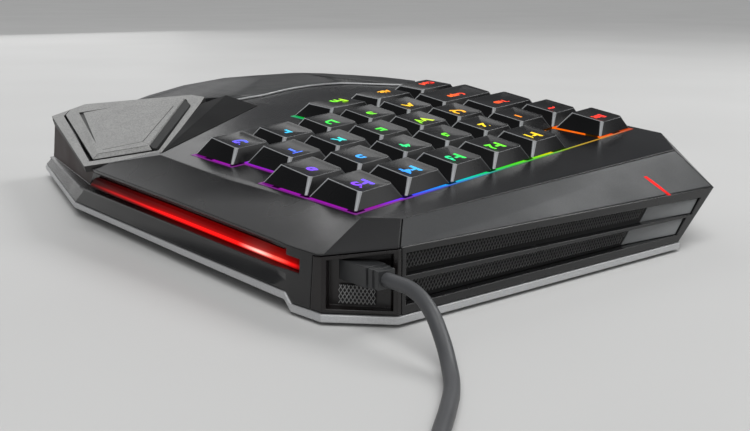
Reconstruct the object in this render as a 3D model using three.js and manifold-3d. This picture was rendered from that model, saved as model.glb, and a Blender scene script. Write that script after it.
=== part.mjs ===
// One-hand keypad with a raised palm rest, a thumb key and a cabled corner.
// Millimetres. X is the user's right, Y points to the rear where the cable leaves, Z is up.
// The near corner of the shell, where the rear wall meets the cut corner, is the origin
// that all outlines are drawn from; the whole group is moved at the end.
import * as THREE from "three";
import { mergeVertices } from "three/addons/utils/BufferGeometryUtils.js";
import Module from "manifold-3d";

const wasm = await Module();
wasm.setup();

// Counts
const fieldColumns = 7;
const fieldRows = 5;
const capCornerSteps = 3;
const stemSides = 8;
const domeSides = 8;
const cordSides = 8;
const coilSides = 6;
const coilStepsPerLoop = 24;
const coilLayers = 4;
const loopsPerLayer = 3;

// Keys
const keyPitch = 19.05;
const capGap = 1.0;
const capRise = 4.5;
const capFloat = 0.4;
const capCornerRadius = 1.6;
const capBevel = 0.35;
const capWall = 1.3;
const capDish = 0.7;
const capCrown = 0.9;
const keyTravel = 3.5;
const travelSpare = 0.3;
const stemRadius = 2.2;

// Layers under the keys
const fit = 0.3;
const keyClearance = 0.6;
const frameThickness = 1.6;
const frameMargin = 1.9;
const frameRimWidth = 1.6;
const domeHeight = 3.9;
const domeRadius = 4.4;
const domeWall = 0.6;
const sheetThickness = 0.7;
const membraneThickness = 0.5;
const backingThickness = 1.2;

// Shell
const wall = 2.4;
const leftBorder = 15.65;
const rightBorder = 16;
const rearBorder = 25.75;
const palmReach = 122;
const standHeight = 1.0;
const floorThickness = 2.0;
const rimHeight = 3.0;
const rimThickness = 1.6;
const bandThickness = 1.85;
const bandLift = 2.5;
const bandProud = 0.4;
const deckHeight = 20.53;
const deckPitchDegrees = 4.44;
const deckRollDegrees = 3.19;
const keyYawDegrees = 6.36;
const channelDepth = 3.6;
const chamferPlateThickness = 1.6;
const postRadius = 2.5;
const cut = 60;
const weldDistance = 1e-5;

// Thumb key
const thumbFrameThickness = 2.0;
const thumbKeyThickness = 3.0;
const thumbKeyProud = 0.6;
const thumbTravel = 2.0;
const thumbGap = 0.9;
const thumbStemRadius = 3.0;
const thumbDomeHeight = 3.2;
const trayFloor = 1.6;

// Cable and bay
const cableDiameter = 3.5;
const bayWidth = 16.2;
const bayDepth = 3;
const footThickness = 0.7;
const bootHalfWidth = 3;
const bootHeight = 5;
const bootLow = 11;
const coilPitchShare = 1.28;
const coilMiddleShare = 6;
const tieThickness = 0.7;
const tieWidth = 4;
const plugWidth = 14;
const plugHeight = 7.2;
const plugLength = 20;
const plugShellWidth = 12;
const plugShellHeight = 4.5;
const plugShellLength = 12;

const bodyWidth = keyPitch * fieldColumns + leftBorder + rightBorder;
const bodyLength = keyPitch * fieldRows + rearBorder + palmReach;
const radians = Math.PI / 180;
const slopeX = Math.tan(deckRollDegrees * radians);
const slopeY = Math.tan(deckPitchDegrees * radians);

// Outlines, as shares of the body's width and length, counter-clockwise from the near corner.
// Each row: foot of the wall, top of the wall with its share of the deck's height there,
// crease of the deck, share of the light channel's depth, share of the band's lift.
const outlineShares = {
  nearCorner: [[0, 0], [0, 0, 0.96], [-0.08, -0.06], 0, 0],
  rearLeft: [[-0.685, 0], [-0.788, 0, 0.648], [-0.77, -0.0547], 0, 0],
  leftRear: [[-0.81, -0.14], [-0.921, -0.14, 0.727], [-0.861, -0.12], 0, 1],
  leftFront: [[-0.85, -0.845], [-0.897, -0.835, 0.54], [-0.836, -0.597], 0, 1],
  frontLeft: [[-0.575, -1], [-0.576, -0.988, 0.43], [-0.515, -0.7], 0, 1],
  frontRight: [[-0.055, -0.984], [-0.068, -0.964, 0.661], [-0.273, -0.679], 0.35, 1],
  rightFront: [[0.0727, -0.658], [0.107, -0.562, 0.73], [0.035, -0.438], 1, 1],
  rightMiddle: [[0.082, -0.33], [0.091, -0.33, 0.76], [0.0188, -0.289], 1, 1],
  channelEnd: [[0.085, -0.136], [0.081, -0.136, 0.79], [-0.018, -0.152], 1, 1],
  bandStepTop: [[0.085, -0.11], [0.08, -0.111, 0.79], [-0.0255, -0.1276], 0, 1],
  bandStepFoot: [[0.085, -0.0988], [0.079, -0.0988, 0.795], [-0.029, -0.113], 0, 0],
  cutCorner: [[0.079, -0.0535], [0.0727, -0.0576, 0.811], [-0.0358, -0.0877], 0, 0],
};
const corners = Object.values(outlineShares);

// Height share and depth share of each edge of the light channel, skirt first
const channelShares = [
  [0, 0], [0.24, 0.44], [0.36, 0.5], [0.38, 0.08], [0.43, 0.05],
  [0.47, 1], [0.8, 1], [0.93, 0.1], [1, 0],
];

const deckZ = (x, y) => deckHeight - slopeX * x - slopeY * y;
const planPoint = ([x, y]) => new THREE.Vector2(x * bodyWidth, y * bodyLength);
const footPlan = corners.map((c) => planPoint(c[0]));
const topPlan = corners.map((c) => planPoint(c[1]));
const creasePlan = corners.map((c) => planPoint(c[2]));
const channelShare = corners.map((c) => c[3]);
const bandBottom = corners.map((c) => standHeight + c[4] * bandLift);
const footZ = bandBottom.map((z) => z + bandThickness + fit);
const topZ = topPlan.map((p, i) => corners[i][1][2] * deckZ(p.x, p.y));

// Solids and meshes

function solidOf(geometry, matrix) {
  const bare = geometry.clone();
  bare.deleteAttribute("normal");
  bare.deleteAttribute("uv");
  if (matrix) bare.applyMatrix4(matrix);
  const merged = mergeVertices(bare, weldDistance);
  return new wasm.Manifold(new wasm.Mesh({
    numProp: 3,
    vertProperties: new Float32Array(merged.attributes.position.array),
    triVerts: new Uint32Array(merged.index.array),
  }));
}

function geometryOf(solid) {
  const mesh = solid.getMesh();
  const geometry = new THREE.BufferGeometry();
  geometry.setAttribute("position", new THREE.BufferAttribute(new Float32Array(mesh.vertProperties), 3));
  geometry.setIndex(new THREE.BufferAttribute(new Uint32Array(mesh.triVerts), 1));
  return geometry;
}

// Inward for a counter-clockwise outline, one distance for all corners or one for each
function offsetOutline(points, distances) {
  return points.map((p, i) => {
    const before = points[(i + points.length - 1) % points.length];
    const after = points[(i + 1) % points.length];
    const a = new THREE.Vector2(before.y - p.y, p.x - before.x).normalize();
    const b = new THREE.Vector2(p.y - after.y, after.x - p.x).normalize();
    const reach = (Array.isArray(distances) ? distances[i] : distances) / (1 + a.dot(b));
    return p.clone().addScaledVector(a.add(b), reach);
  });
}

const ring = (plan, heights) => plan.map((p, i) =>
  new THREE.Vector3(p.x, p.y, Array.isArray(heights) ? heights[i] : heights));

function solidFrom(loops, faces) {
  const positions = loops.flat().flatMap((p) => [p.x, p.y, p.z]);
  const geometry = new THREE.BufferGeometry();
  geometry.setAttribute("position", new THREE.Float32BufferAttribute(positions, 3));
  geometry.setIndex(faces);
  return solidOf(geometry);
}

// A closed body through rings of equally many points, from the lowest ring up
function loft(rings) {
  const count = rings[0].length;
  const faces = [];
  for (let k = 0; k + 1 < rings.length; k += 1) {
    for (let i = 0; i < count; i += 1) {
      const next = (i + 1) % count;
      const [a, b] = [k * count + i, k * count + next];
      faces.push(a, b, b + count, a, b + count, a + count);
    }
  }
  const cap = (r) => THREE.ShapeUtils.triangulateShape(r.map((p) => new THREE.Vector2(p.x, p.y)), []);
  const top = (rings.length - 1) * count;
  cap(rings[0]).forEach(([a, b, c]) => faces.push(a, c, b));
  cap(rings[rings.length - 1]).forEach(([a, b, c]) => faces.push(top + a, top + b, top + c));
  return solidFrom(rings, faces);
}

function prism(outline, low, high, matrix) {
  const geometry = new THREE.ExtrudeGeometry(new THREE.Shape(outline), {
    depth: high - low, bevelEnabled: false,
  });
  geometry.translate(0, 0, low);
  return solidOf(geometry, matrix);
}

function box(width, depth, height, x, y, z, matrix) {
  const geometry = new THREE.BoxGeometry(width, depth, height);
  geometry.translate(x, y, z);
  return solidOf(geometry, matrix);
}

// An upright cone or cylinder from low to high
function stub(lowRadius, highRadius, low, high, sides, x, y, matrix) {
  const geometry = new THREE.CylinderGeometry(highRadius, lowRadius, high - low, sides);
  geometry.rotateX(Math.PI / 2);
  geometry.translate(x, y, (low + high) / 2);
  return solidOf(geometry, matrix);
}

const join = (solids) => solids.reduce((all, one) => all.add(one));

const part = new THREE.Group();
const finishes = {
  shell: { color: 0x17181a, roughness: 0.42, metalness: 0.1 },
  base: { color: 0x101113, roughness: 0.6, metalness: 0 },
  silver: { color: 0xa9abad, roughness: 0.35, metalness: 0.8 },
  greyPanel: { color: 0x9a9b9c, roughness: 0.45, metalness: 0.6 },
  chamfer: { color: 0x3a3b3e, roughness: 0.38, metalness: 0.5 },
  cap: { color: 0x0c0c0e, roughness: 0.5, metalness: 0 },
  palm: { color: 0x3d3d3e, roughness: 0.8, metalness: 0 },
  light: { color: 0xd01010, roughness: 0.3, metalness: 0 },
  rubber: { color: 0x1b1b1b, roughness: 0.85, metalness: 0 },
  silicone: { color: 0xd8d8d8, roughness: 0.6, metalness: 0 },
  film: { color: 0x8fb4c0, roughness: 0.4, metalness: 0 },
  steel: { color: 0x8a8d90, roughness: 0.35, metalness: 0.9 },
  board: { color: 0x14532d, roughness: 0.5, metalness: 0 },
  mesh: { color: 0x2a2a2c, roughness: 0.5, metalness: 0.5 },
};

function addPart(name, shape, finish, parent = part) {
  const geometry = shape.isBufferGeometry ? shape : geometryOf(shape);
  const mesh = new THREE.Mesh(geometry, new THREE.MeshStandardMaterial(finishes[finish]));
  mesh.name = name;
  parent.add(mesh);
  return mesh;
}

// The shell's outer body, and the hollow inside it

function wallPlan(share, inset, channel) {
  const plan = footPlan.map((p, i) => p.clone().lerp(topPlan[i], share));
  return offsetOutline(plan, channelShare.map((c) => inset + c * channel));
}

const wallHeights = (share) => footZ.map((z, i) => THREE.MathUtils.lerp(z, topZ[i], share));
const wallRing = (share, inset, channel) => ring(wallPlan(share, inset, channel), wallHeights(share));
const onDeck = (plan, drop) => plan.map((p) => new THREE.Vector3(p.x, p.y, deckZ(p.x, p.y) - drop));

const outerBody = loft([
  ring(footPlan, footZ.map((z) => z - bandThickness)),
  ...channelShares.map(([height, depth]) => wallRing(height, 0, depth * channelDepth)),
  onDeck(creasePlan, 0),
]);

const innerTopShare = 0.86;
const innerRings = (inset) => [
  ring(wallPlan(0, inset, channelDepth), -cut), wallRing(0, inset, channelDepth),
  wallRing(innerTopShare, inset, channelDepth),
];
const hollow = loft([...innerRings(wall), onDeck(offsetOutline(creasePlan, wall / 2), wall)]);
const skin = (thickness) => outerBody.subtract(outerBody.translate([0, 0, -thickness]));

// The keys' own frame: X along a row, Y to the rear, Z out of the deck

const fieldInset = 6.3;
const fieldSetback = 24.2;
const yaw = keyYawDegrees * radians;
const deckUp = new THREE.Vector3(slopeX, slopeY, 1).normalize();
const rowSlope = -slopeX * Math.cos(yaw) - slopeY * Math.sin(yaw);
const alongRow = new THREE.Vector3(Math.cos(yaw), Math.sin(yaw), rowSlope).normalize();
const towardRear = new THREE.Vector3().crossVectors(deckUp, alongRow);
const keyFrame = new THREE.Matrix4().makeBasis(alongRow, towardRear, deckUp);
keyFrame.setPosition(-fieldInset, -fieldSetback, deckZ(-fieldInset, -fieldSetback));

// Left edge and width of each key, in key pitches, rear row first
const unitRow = (first, count) => Array.from({ length: count }, (_, i) => [first + i, 1]);
const keyRowShares = [
  [[0, 1], ...unitRow(2, 5)],
  unitRow(0, 7),
  [[0, 1.5], ...unitRow(1.5, 5)],
  [[0, 1.75], ...unitRow(1.75, 5)],
  [[0, 1.25], [1.25, 1.25], [2.5, 1.25]],
];
const rowEndShares = keyRowShares.map((row) => row[row.length - 1][0] + row[row.length - 1][1]);
const fieldCorner = (column, row) => new THREE.Vector2((column - fieldColumns) * keyPitch, -row * keyPitch);

// Stepped outline of all keys
const fieldOutline = [fieldCorner(fieldColumns, 0), fieldCorner(0, 0), fieldCorner(0, fieldRows)];
for (let row = fieldRows - 1; row >= 0; row -= 1) {
  if (row < fieldRows - 1 && rowEndShares[row] === rowEndShares[row + 1]) continue;
  fieldOutline.push(fieldCorner(rowEndShares[row], row + 1));
  if (row > 1) fieldOutline.push(fieldCorner(rowEndShares[row], row));
}

const capTop = capFloat + capRise;
const frameTop = capFloat - keyTravel - travelSpare;
const frameUnderside = frameTop - frameThickness;
const stemEnd = frameUnderside - fit;
const domeTop = stemEnd - fit;
const sheetTop = domeTop - domeHeight;
const sheetBottom = sheetTop - sheetThickness;
const membraneTop = sheetBottom - fit;
const membraneBottom = membraneTop - membraneThickness;
const backingTop = membraneBottom - fit;
const backingBottom = backingTop - backingThickness;

const keyCentres = keyRowShares.flatMap((row, r) => row.map(([left, width], c) => ({
  row: r, column: c, width, convex: r === fieldRows - 1,
  x: (left + width / 2 - fieldColumns) * keyPitch,
  y: -(r + 1 / 2) * keyPitch,
})));

// Keycaps

const capSideTaper = 2.9;
const capRearTaper = 1.3;
const capFrontTaper = 3.5;
const dishRimShare = 0.62;
const dishRimDepthShare = 0.7;

function roundedRing(width, depth, centreY, radius, z) {
  const points = [];
  [[1, 1], [-1, 1], [-1, -1], [1, -1]].forEach(([sx, sy], quarter) => {
    for (let k = 0; k <= capCornerSteps; k += 1) {
      const angle = (quarter + k / capCornerSteps) * Math.PI / 2;
      points.push(new THREE.Vector3(
        sx * (width / 2 - radius) + radius * Math.cos(angle),
        centreY + sy * (depth / 2 - radius) + radius * Math.sin(angle), z));
    }
  });
  return points;
}

function capSolid(width, convex) {
  const footWidth = width * keyPitch - capGap;
  const footDepth = keyPitch - capGap;
  const topWidth = footWidth - 2 * capSideTaper;
  const topDepth = footDepth - capRearTaper - capFrontTaper;
  const shift = (capFrontTaper - capRearTaper) / 2;
  const rise = convex ? capCrown : -capDish;
  const dishRing = (share, depthShare) => roundedRing(topWidth * share, topDepth * share, shift,
    capCornerRadius * share, capTop + rise * depthShare);
  const outer = loft([
    roundedRing(footWidth, footDepth, 0, capCornerRadius / 2, capFloat),
    roundedRing(topWidth + capBevel, topDepth + capBevel, shift, capCornerRadius, capTop - capBevel),
    roundedRing(topWidth - capBevel, topDepth - capBevel, shift, capCornerRadius, capTop),
    dishRing(dishRimShare, dishRimDepthShare),
    dishRing(dishRimShare / 2, 1),
  ]);
  const cavityCap = capTop - capDish - capWall;
  const cavity = loft([
    roundedRing(footWidth - capWall, footDepth - capWall, 0, capCornerRadius / 2, capFloat - capWall),
    roundedRing(topWidth - capWall, topDepth - capWall, shift, capCornerRadius / 2, cavityCap),
  ]);
  const stem = stub(stemRadius, stemRadius, stemEnd, cavityCap + capWall / 2, stemSides, 0, 0);
  return outer.subtract(cavity).add(stem);
}

const keyField = new THREE.Group();
keyField.applyMatrix4(keyFrame);
part.add(keyField);
const capShapes = new Map();
keyCentres.forEach(({ row, column, width, convex, x, y }) => {
  const kind = `${width} ${convex}`;
  if (!capShapes.has(kind)) capShapes.set(kind, geometryOf(capSolid(width, convex)));
  const cap = addPart(`keycap_row${row + 1}_${column + 1}`, capShapes.get(kind), "cap", keyField);
  cap.position.set(x, y, 0);
});

// Layers under the keys

const layerOutline = offsetOutline(fieldOutline, -frameMargin);
const stemHoles = join(keyCentres.map(({ x, y }) =>
  stub(stemRadius + fit, stemRadius + fit, -cut, cut, stemSides, x, y)));
const frameUnderRim = sheetTop + fit;
const keyFrameSolid = prism(layerOutline, frameUnderRim, frameTop)
  .subtract(prism(offsetOutline(layerOutline, frameRimWidth), -cut, frameUnderside))
  .subtract(stemHoles);
addPart("key_frame", keyFrameSolid, "base", keyField);

const domeNeckShare = 0.55;
const domes = join(keyCentres.map(({ x, y }) =>
  stub(domeRadius, domeRadius * domeNeckShare, sheetTop - sheetThickness / 2, domeTop, domeSides, x, y)));
const domeHollows = join(keyCentres.map(({ x, y }) =>
  stub(domeRadius - domeWall, domeRadius * domeNeckShare - domeWall, sheetBottom - fit,
    domeTop - 2 * domeWall, domeSides, x, y)));
const domeSheet = prism(layerOutline, sheetBottom, sheetTop).add(domes).subtract(domeHollows);
addPart("dome_sheet", domeSheet, "silicone", keyField);
addPart("membrane_circuit", prism(layerOutline, membraneBottom, membraneTop), "film", keyField);
addPart("backing_plate", prism(layerOutline, backingBottom, backingTop), "steel", keyField);

// Thumb area: a plane of its own, tilted down to the right

const thumbOriginShare = [0.0873, -0.5605];
const thumbDrop = 6.8;
const thumbUpShares = [0.267, -0.043, 0.963];
const thumbPlace = planPoint(thumbOriginShare);
const thumbOrigin = new THREE.Vector3(thumbPlace.x, thumbPlace.y,
  deckZ(thumbPlace.x, thumbPlace.y) - thumbDrop);
const thumbUp = new THREE.Vector3(...thumbUpShares).normalize();
const thumbAcross = new THREE.Vector3(1, 0, 0).addScaledVector(thumbUp, -thumbUp.x).normalize();
const thumbAlong = new THREE.Vector3().crossVectors(thumbUp, thumbAcross);
const thumbFrame = new THREE.Matrix4().makeBasis(thumbAcross, thumbAlong, thumbUp).setPosition(thumbOrigin);

// Outlines in the thumb plane, as shares of the thumb key's length, counter-clockwise
const thumbLength = 95;
const thumbPoints = (shares) => shares.map(([x, y]) => new THREE.Vector2(x * thumbLength, y * thumbLength));
const thumbFrameShares = [
  [0.048, 0.02], [-0.121, 0.268], [-0.551, -0.193], [-0.621, -0.274],
  [-0.632, -0.4], [-0.432, -1.016], [-0.274, -1.026],
];
const thumbKeyShares = [
  [0.005, -0.011], [-0.135, 0.168], [-0.163, 0.126], [-0.595, -0.368],
  [-0.411, -0.979], [-0.347, -1.005],
];
const thumbGripShares = [
  [-0.142, 0.176], [-0.147, 0.203], [-0.537, -0.218], [-0.599, -0.363], [-0.168, 0.13],
];
const thumbHoleShares = [
  [0.005, -0.011], [-0.138, 0.174], [-0.147, 0.203], [-0.537, -0.218],
  [-0.6, -0.368], [-0.411, -0.979], [-0.347, -1.005],
];
const thumbStemShare = [-0.28, -0.42];
const thumbStemAt = new THREE.Vector2(...thumbStemShare).multiplyScalar(thumbLength);

const thumbFrameOutline = thumbPoints(thumbFrameShares);
const thumbHole = offsetOutline(thumbPoints(thumbHoleShares), -thumbGap);
const thumbKeyTop = thumbKeyProud;
const thumbKeyBottom = thumbKeyTop - thumbKeyThickness;
const trayTop = thumbKeyBottom - thumbTravel - fit;
const trayBottom = trayTop - trayFloor;
const thumbStemEnd = trayBottom - thumbTravel / 2;
const thumbDomeTop = thumbStemEnd - fit;
const thumbDomeBase = thumbDomeTop - thumbDomeHeight;
const towerTop = thumbDomeBase - fit;

const thumbFrameSolid = prism(thumbFrameOutline, -thumbFrameThickness, 0)
  .subtract(prism(thumbHole, -cut, cut));
const thumbStem = stub(thumbStemRadius, thumbStemRadius, thumbStemEnd,
  thumbKeyBottom + thumbKeyThickness / 2, stemSides, thumbStemAt.x, thumbStemAt.y);
const thumbGroup = new THREE.Group();
thumbGroup.applyMatrix4(thumbFrame);
part.add(thumbGroup);
addPart("thumb_frame", thumbFrameSolid, "greyPanel", thumbGroup);

// The key's near edge is bevelled and its stem goes through the tray
const keyBevelDrop = 1.6;
const thumbKeyPlan = thumbPoints(thumbKeyShares);
const thumbBevelShares = [
  [-0.047, -0.063], [-0.155, 0.112], [-0.163, 0.122], [-0.595, -0.368], [-0.411, -0.979], [-0.347, -1.005],
];
const thumbBevelPlan = thumbPoints(thumbBevelShares);
const thumbKeySolid = loft([
  ring(thumbKeyPlan, thumbKeyBottom),
  ring(thumbKeyPlan, thumbKeyTop - keyBevelDrop),
  ring(thumbBevelPlan, thumbKeyTop),
]).add(thumbStem);
addPart("thumb_key", thumbKeySolid, "greyPanel", thumbGroup);
const gripDrop = 0.9;
addPart("thumb_key_grip", prism(thumbPoints(thumbGripShares), thumbKeyBottom, thumbKeyTop - gripDrop),
  "rubber", thumbGroup);

const thumbDomeRadius = 5;
const thumbDome = stub(thumbDomeRadius, thumbDomeRadius * domeNeckShare, thumbDomeBase, thumbDomeTop,
  domeSides, thumbStemAt.x, thumbStemAt.y)
  .subtract(stub(thumbDomeRadius - domeWall, thumbDomeRadius * domeNeckShare - domeWall,
    thumbDomeBase - fit, thumbDomeTop - 2 * domeWall, domeSides, thumbStemAt.x, thumbStemAt.y));
addPart("thumb_dome", thumbDome, "silicone", thumbGroup);

// Room for the thumb frame and its tray in the cover
const thumbCut = prism(offsetOutline(thumbFrameOutline, -fit), -thumbFrameThickness - fit, cut, thumbFrame);
const trayWall = 1.4;
const shelfTop = -thumbFrameThickness - fit;
const shelf = prism(offsetOutline(thumbFrameOutline, -wall), shelfTop - wall, shelfTop, thumbFrame);
const tray = prism(offsetOutline(thumbHole, -trayWall), trayBottom, shelfTop, thumbFrame).add(shelf);
const trayHollow = prism(thumbHole, trayTop, cut, thumbFrame);
const thumbStemHole = stub(thumbStemRadius + fit, thumbStemRadius + fit, -cut, cut, stemSides,
  thumbStemAt.x, thumbStemAt.y, thumbFrame);

// Dark facet between the deck and the thumb frame: places from the thumb's origin, as shares of
// the thumb key's length, and rises above the deck
const facetThickness = 1.4;
const facetRiseFar = 2.8;
const facetRiseMiddle = 2.0;
const facetSink = 1.3;
const facetShares = [
  [-0.103, 0.2936], [-0.7422, -0.122], [-0.6779, -0.2494], [-0.5381, -0.2008], [-0.1308, 0.2545],
];
const facetPlan = thumbPoints(facetShares).map((p) => p.add(thumbPlace));
const facetRises = [0, 0, facetRiseFar, facetRiseMiddle, -facetSink];
const facetRing = (plan, heights) => ring(plan, plan.map((p, i) => deckZ(p.x, p.y) + heights[i]));
const facetFloor = facetRises.map((rise) => Math.min(rise, 0) - facetThickness);
const facetBlank = loft([facetRing(facetPlan, facetFloor), facetRing(facetPlan, facetRises)]);
const facetCut = wasm.Manifold.hull([-fit, fit].flatMap((x) => [-fit, fit].flatMap((y) =>
  [-fit, cut].map((z) => facetBlank.translate([x, y, z])))));
addPart("thumb_facet", facetBlank.subtract(thumbCut), "shell");

// Palm rest: a dome over the shell's sloping front, drawn through hand-placed edge points

const palmEdgeShares = [
  [-0.333, -0.683, 1.0], [-0.42, -0.7, 1.0], [-0.515, -0.71, 1.0], [-0.667, -0.69, 0.99],
  [-0.79, -0.61, 0.985], [-0.868, -0.65, 0.93], [-0.88, -0.74, 0.8], [-0.865, -0.835, 0.64],
  [-0.73, -0.91, 0.56], [-0.575, -0.965, 0.51], [-0.36, -0.962, 0.55], [-0.2, -0.955, 0.62],
  [-0.2, -0.9, 0.66], [-0.27, -0.74, 0.93],
];
const palmSpineShares = [[-0.5, -0.75], [-0.6, -0.75]];
const palmCrestHeight = 42.6;
const palmEdgeLift = 0.8;
const palmDomePower = 1.9;
const palmRingShares = [0.97, 0.88, 0.72, 0.5, 0.25, 0.08];
const palmSpine = new THREE.Line3(...ring(palmSpineShares.map(planPoint), palmCrestHeight));
const palmPlan = palmEdgeShares.map(planPoint);
const palmEdgeZ = palmPlan.map((p, i) => palmEdgeShares[i][2] * deckZ(p.x, p.y) + palmEdgeLift);
const palmStepsPerPoint = 4;
const palmTension = 0.35;
const palmEdge = new THREE.CatmullRomCurve3(ring(palmPlan, palmEdgeZ), true, "catmullrom", palmTension)
  .getPoints(palmStepsPerPoint * palmPlan.length).slice(1);
palmEdge.unshift(palmEdge.pop());
const { lerp } = THREE.MathUtils;
const palmRing = (share) => palmEdge.map((p) => {
  const crest = palmSpine.closestPointToPoint(p, true, new THREE.Vector3());
  return new THREE.Vector3(lerp(crest.x, p.x, share), lerp(crest.y, p.y, share),
    lerp(crest.z, p.z, share ** palmDomePower));
});
const palmFlat = palmEdge.map((p) => new THREE.Vector2(p.x, p.y));
const palmBlank = loft([ring(palmFlat, standHeight), palmEdge, ...palmRingShares.map(palmRing)]);
const palmLift = 0.4;
const palmBed = loft([ring(topPlan, -cut), ring(topPlan, topZ.map((z) => z + palmLift)),
  onDeck(creasePlan, -palmLift)]);
const palmSolid = palmBlank.subtract(palmBed).subtract(thumbCut).subtract(facetCut);

// Bright rim in front of the palm rest, following its rear edge
const rimWidth = 1.8;
const rimRise = 1.6;
const rimPoints = palmEdge.slice(0, 4 * palmStepsPerPoint + 1);
const rimSide = (distance) => rimPoints.map((p, i) => {
  const a = rimPoints[Math.max(i - 1, 0)];
  const b = rimPoints[Math.min(i + 1, rimPoints.length - 1)];
  const across = new THREE.Vector2(a.y - b.y, b.x - a.x).normalize();
  return new THREE.Vector2(p.x, p.y).addScaledVector(across, -distance);
});
const rimOutline = [...rimSide(fit).reverse(), ...rimSide(fit + rimWidth)];
const rimLow = onDeck(rimOutline, -fit);
const rimHigh = onDeck(rimOutline, -fit - rimRise);
const rimSolid = loft([rimLow, rimHigh]).subtract(thumbCut).subtract(facetCut);
addPart("palm_rest", palmSolid, "palm");
addPart("palm_rim", rimSolid, "silver");

// Rear: chamfer plate with its light, slots and grille

const platePlan = offsetOutline([topPlan[0], topPlan[1], creasePlan[1], creasePlan[0]], keyClearance);
const lightShares = [[-0.637, -0.0035], [-0.6448, -0.0035], [-0.6358, -0.0284], [-0.6279, -0.0284]];
const lightPlan = lightShares.map(planPoint);
const lightCut = prism(offsetOutline(lightPlan, -fit), -cut, cut);
const chamferPlate = skin(chamferPlateThickness).intersect(prism(platePlan, 0, cut)).subtract(lightCut);
addPart("indicator_light", skin(chamferPlateThickness).intersect(prism(lightPlan, 0, cut)), "light");
const plateCut = skin(chamferPlateThickness + fit).intersect(prism(offsetOutline(platePlan, -fit), 0, cut));

const rearHeight = topZ[0];
const rearPoints = (shares) => shares.map(([x, z]) => new THREE.Vector2(x * bodyWidth, z * rearHeight));
const upperSlot = rearPoints([[-0.0152, 0.925], [-0.748, 0.79], [-0.724, 0.552], [-0.0152, 0.638]]);
const lowerSlot = rearPoints([[-0.0152, 0.569], [-0.7053, 0.519], [-0.6805, 0.27], [-0.0152, 0.271]]);
const grilleOutline = rearPoints([[-0.0135, 0.88], [-0.745, 0.785], [-0.685, 0.255], [-0.0135, 0.255]]);
const upright = new THREE.Matrix4().makeRotationX(Math.PI / 2);
const rearCut = (outline) => prism(outline, -wall, 2 * wall, upright);
const grilleThickness = 0.8;
const rearGrille = prism(grilleOutline, wall + fit, wall + fit + grilleThickness, upright);
addPart("rear_grille", rearGrille, "mesh");

// Cable bay: the cut corner's own block, with a recess for the strain relief

const blockReach = 17;
const blockDepth = 14;
const blockRear = 1;
const blockSide = 5;
const topEdge = [topPlan[0], topPlan[corners.length - 1]];
const topDrop = (topZ[0] - topZ[corners.length - 1]) / (topEdge[1].x - topEdge[1].y);
const blockTop = (p) => topZ[0] - topDrop * (p.x - p.y) - fit;
const blockPlan = [
  [-blockRear, wall * 2], [-blockRear, -blockDepth], [blockSide, -blockReach],
  [blockReach, -blockReach], [blockReach, wall * 2],
].map(([x, y]) => new THREE.Vector2(x, y));
const blockLow = standHeight + floorThickness + fit;
const blockFloor = 0.9;
const blockVolume = (plan, lift) => loft([
  ring(plan, blockLow - lift), plan.map((p) => new THREE.Vector3(p.x, p.y, blockTop(p) + lift)),
]);
const bandOuter = offsetOutline(footPlan, -wall * 2);
const bandInner = offsetOutline(footPlan, channelShare.map((c) => 3 * wall + c * channelDepth));

// A closed hoop through four loops of equally many points
function hoop(loops) {
  const count = loops[0].length;
  const faces = [];
  for (let k = 0; k < loops.length; k += 1) {
    const next = (k + 1) % loops.length;
    for (let i = 0; i < count; i += 1) {
      const j = (i + 1) % count;
      faces.push(k * count + i, k * count + j, next * count + j);
      faces.push(k * count + i, next * count + j, next * count + i);
    }
  }
  return solidFrom(loops, faces);
}

const footCut = hoop([ring(bandOuter, -2 * cut), ring(bandOuter, footZ), ring(bandInner, footZ),
  ring(bandInner, -2 * cut)]);
const bayDiagonal = Math.atan2(topEdge[1].y, topEdge[1].x);
const bayMiddle = footPlan[0].clone().lerp(footPlan[corners.length - 1], 1 / 2);
const bayFloor = blockLow + blockFloor;
const bayMatrix = new THREE.Matrix4().makeRotationZ(bayDiagonal);
bayMatrix.setPosition(bayMiddle.x, bayMiddle.y, bayFloor);
const bayRoof = [-1, 1].map((side) => {
  const corner = new THREE.Vector3(side * bayWidth / 2, 0, 0).applyMatrix4(bayMatrix);
  return blockTop(corner) - blockFloor - bayFloor;
});
const baySection = (inset) => [
  [-bayWidth / 2 + inset, inset], [bayWidth / 2 - inset, inset],
  [bayWidth / 2 - inset, bayRoof[1] - inset], [-bayWidth / 2 + inset, bayRoof[0] - inset],
].map(([x, y]) => new THREE.Vector2(x, y));
const bayUpright = bayMatrix.clone().multiply(upright);
const bayWall = 0.6;
const besideBayWall = box(2 * bodyWidth, 2 * bodyLength, 2 * cut, bodyWidth + bayWall - blockRear, 0, 0);
const bayRecess = prism(baySection(0), -bayDepth, bayDepth, bayUpright).intersect(besideBayWall);
const bayBlock = outerBody.intersect(blockVolume(blockPlan, 0)).subtract(footCut).subtract(bayRecess);
addPart("cable_bay", bayBlock, "shell");
const blockCut = blockVolume(offsetOutline(blockPlan, -fit), fit);
addPart("rear_plate", chamferPlate.subtract(blockCut), "chamfer");

const bayGrilleWidth = 9;
const bayGrilleHeight = 4.6;
const bayGrilleShare = 0.06;
const bayGrille = box(bayGrilleWidth, grilleThickness, bayGrilleHeight, bayGrilleShare * bayWidth,
  fit + grilleThickness / 2 - bayDepth, bayGrilleHeight / 2 + blockFloor, bayMatrix);
addPart("bay_grille", bayGrille, "mesh");

// Top cover

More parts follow.
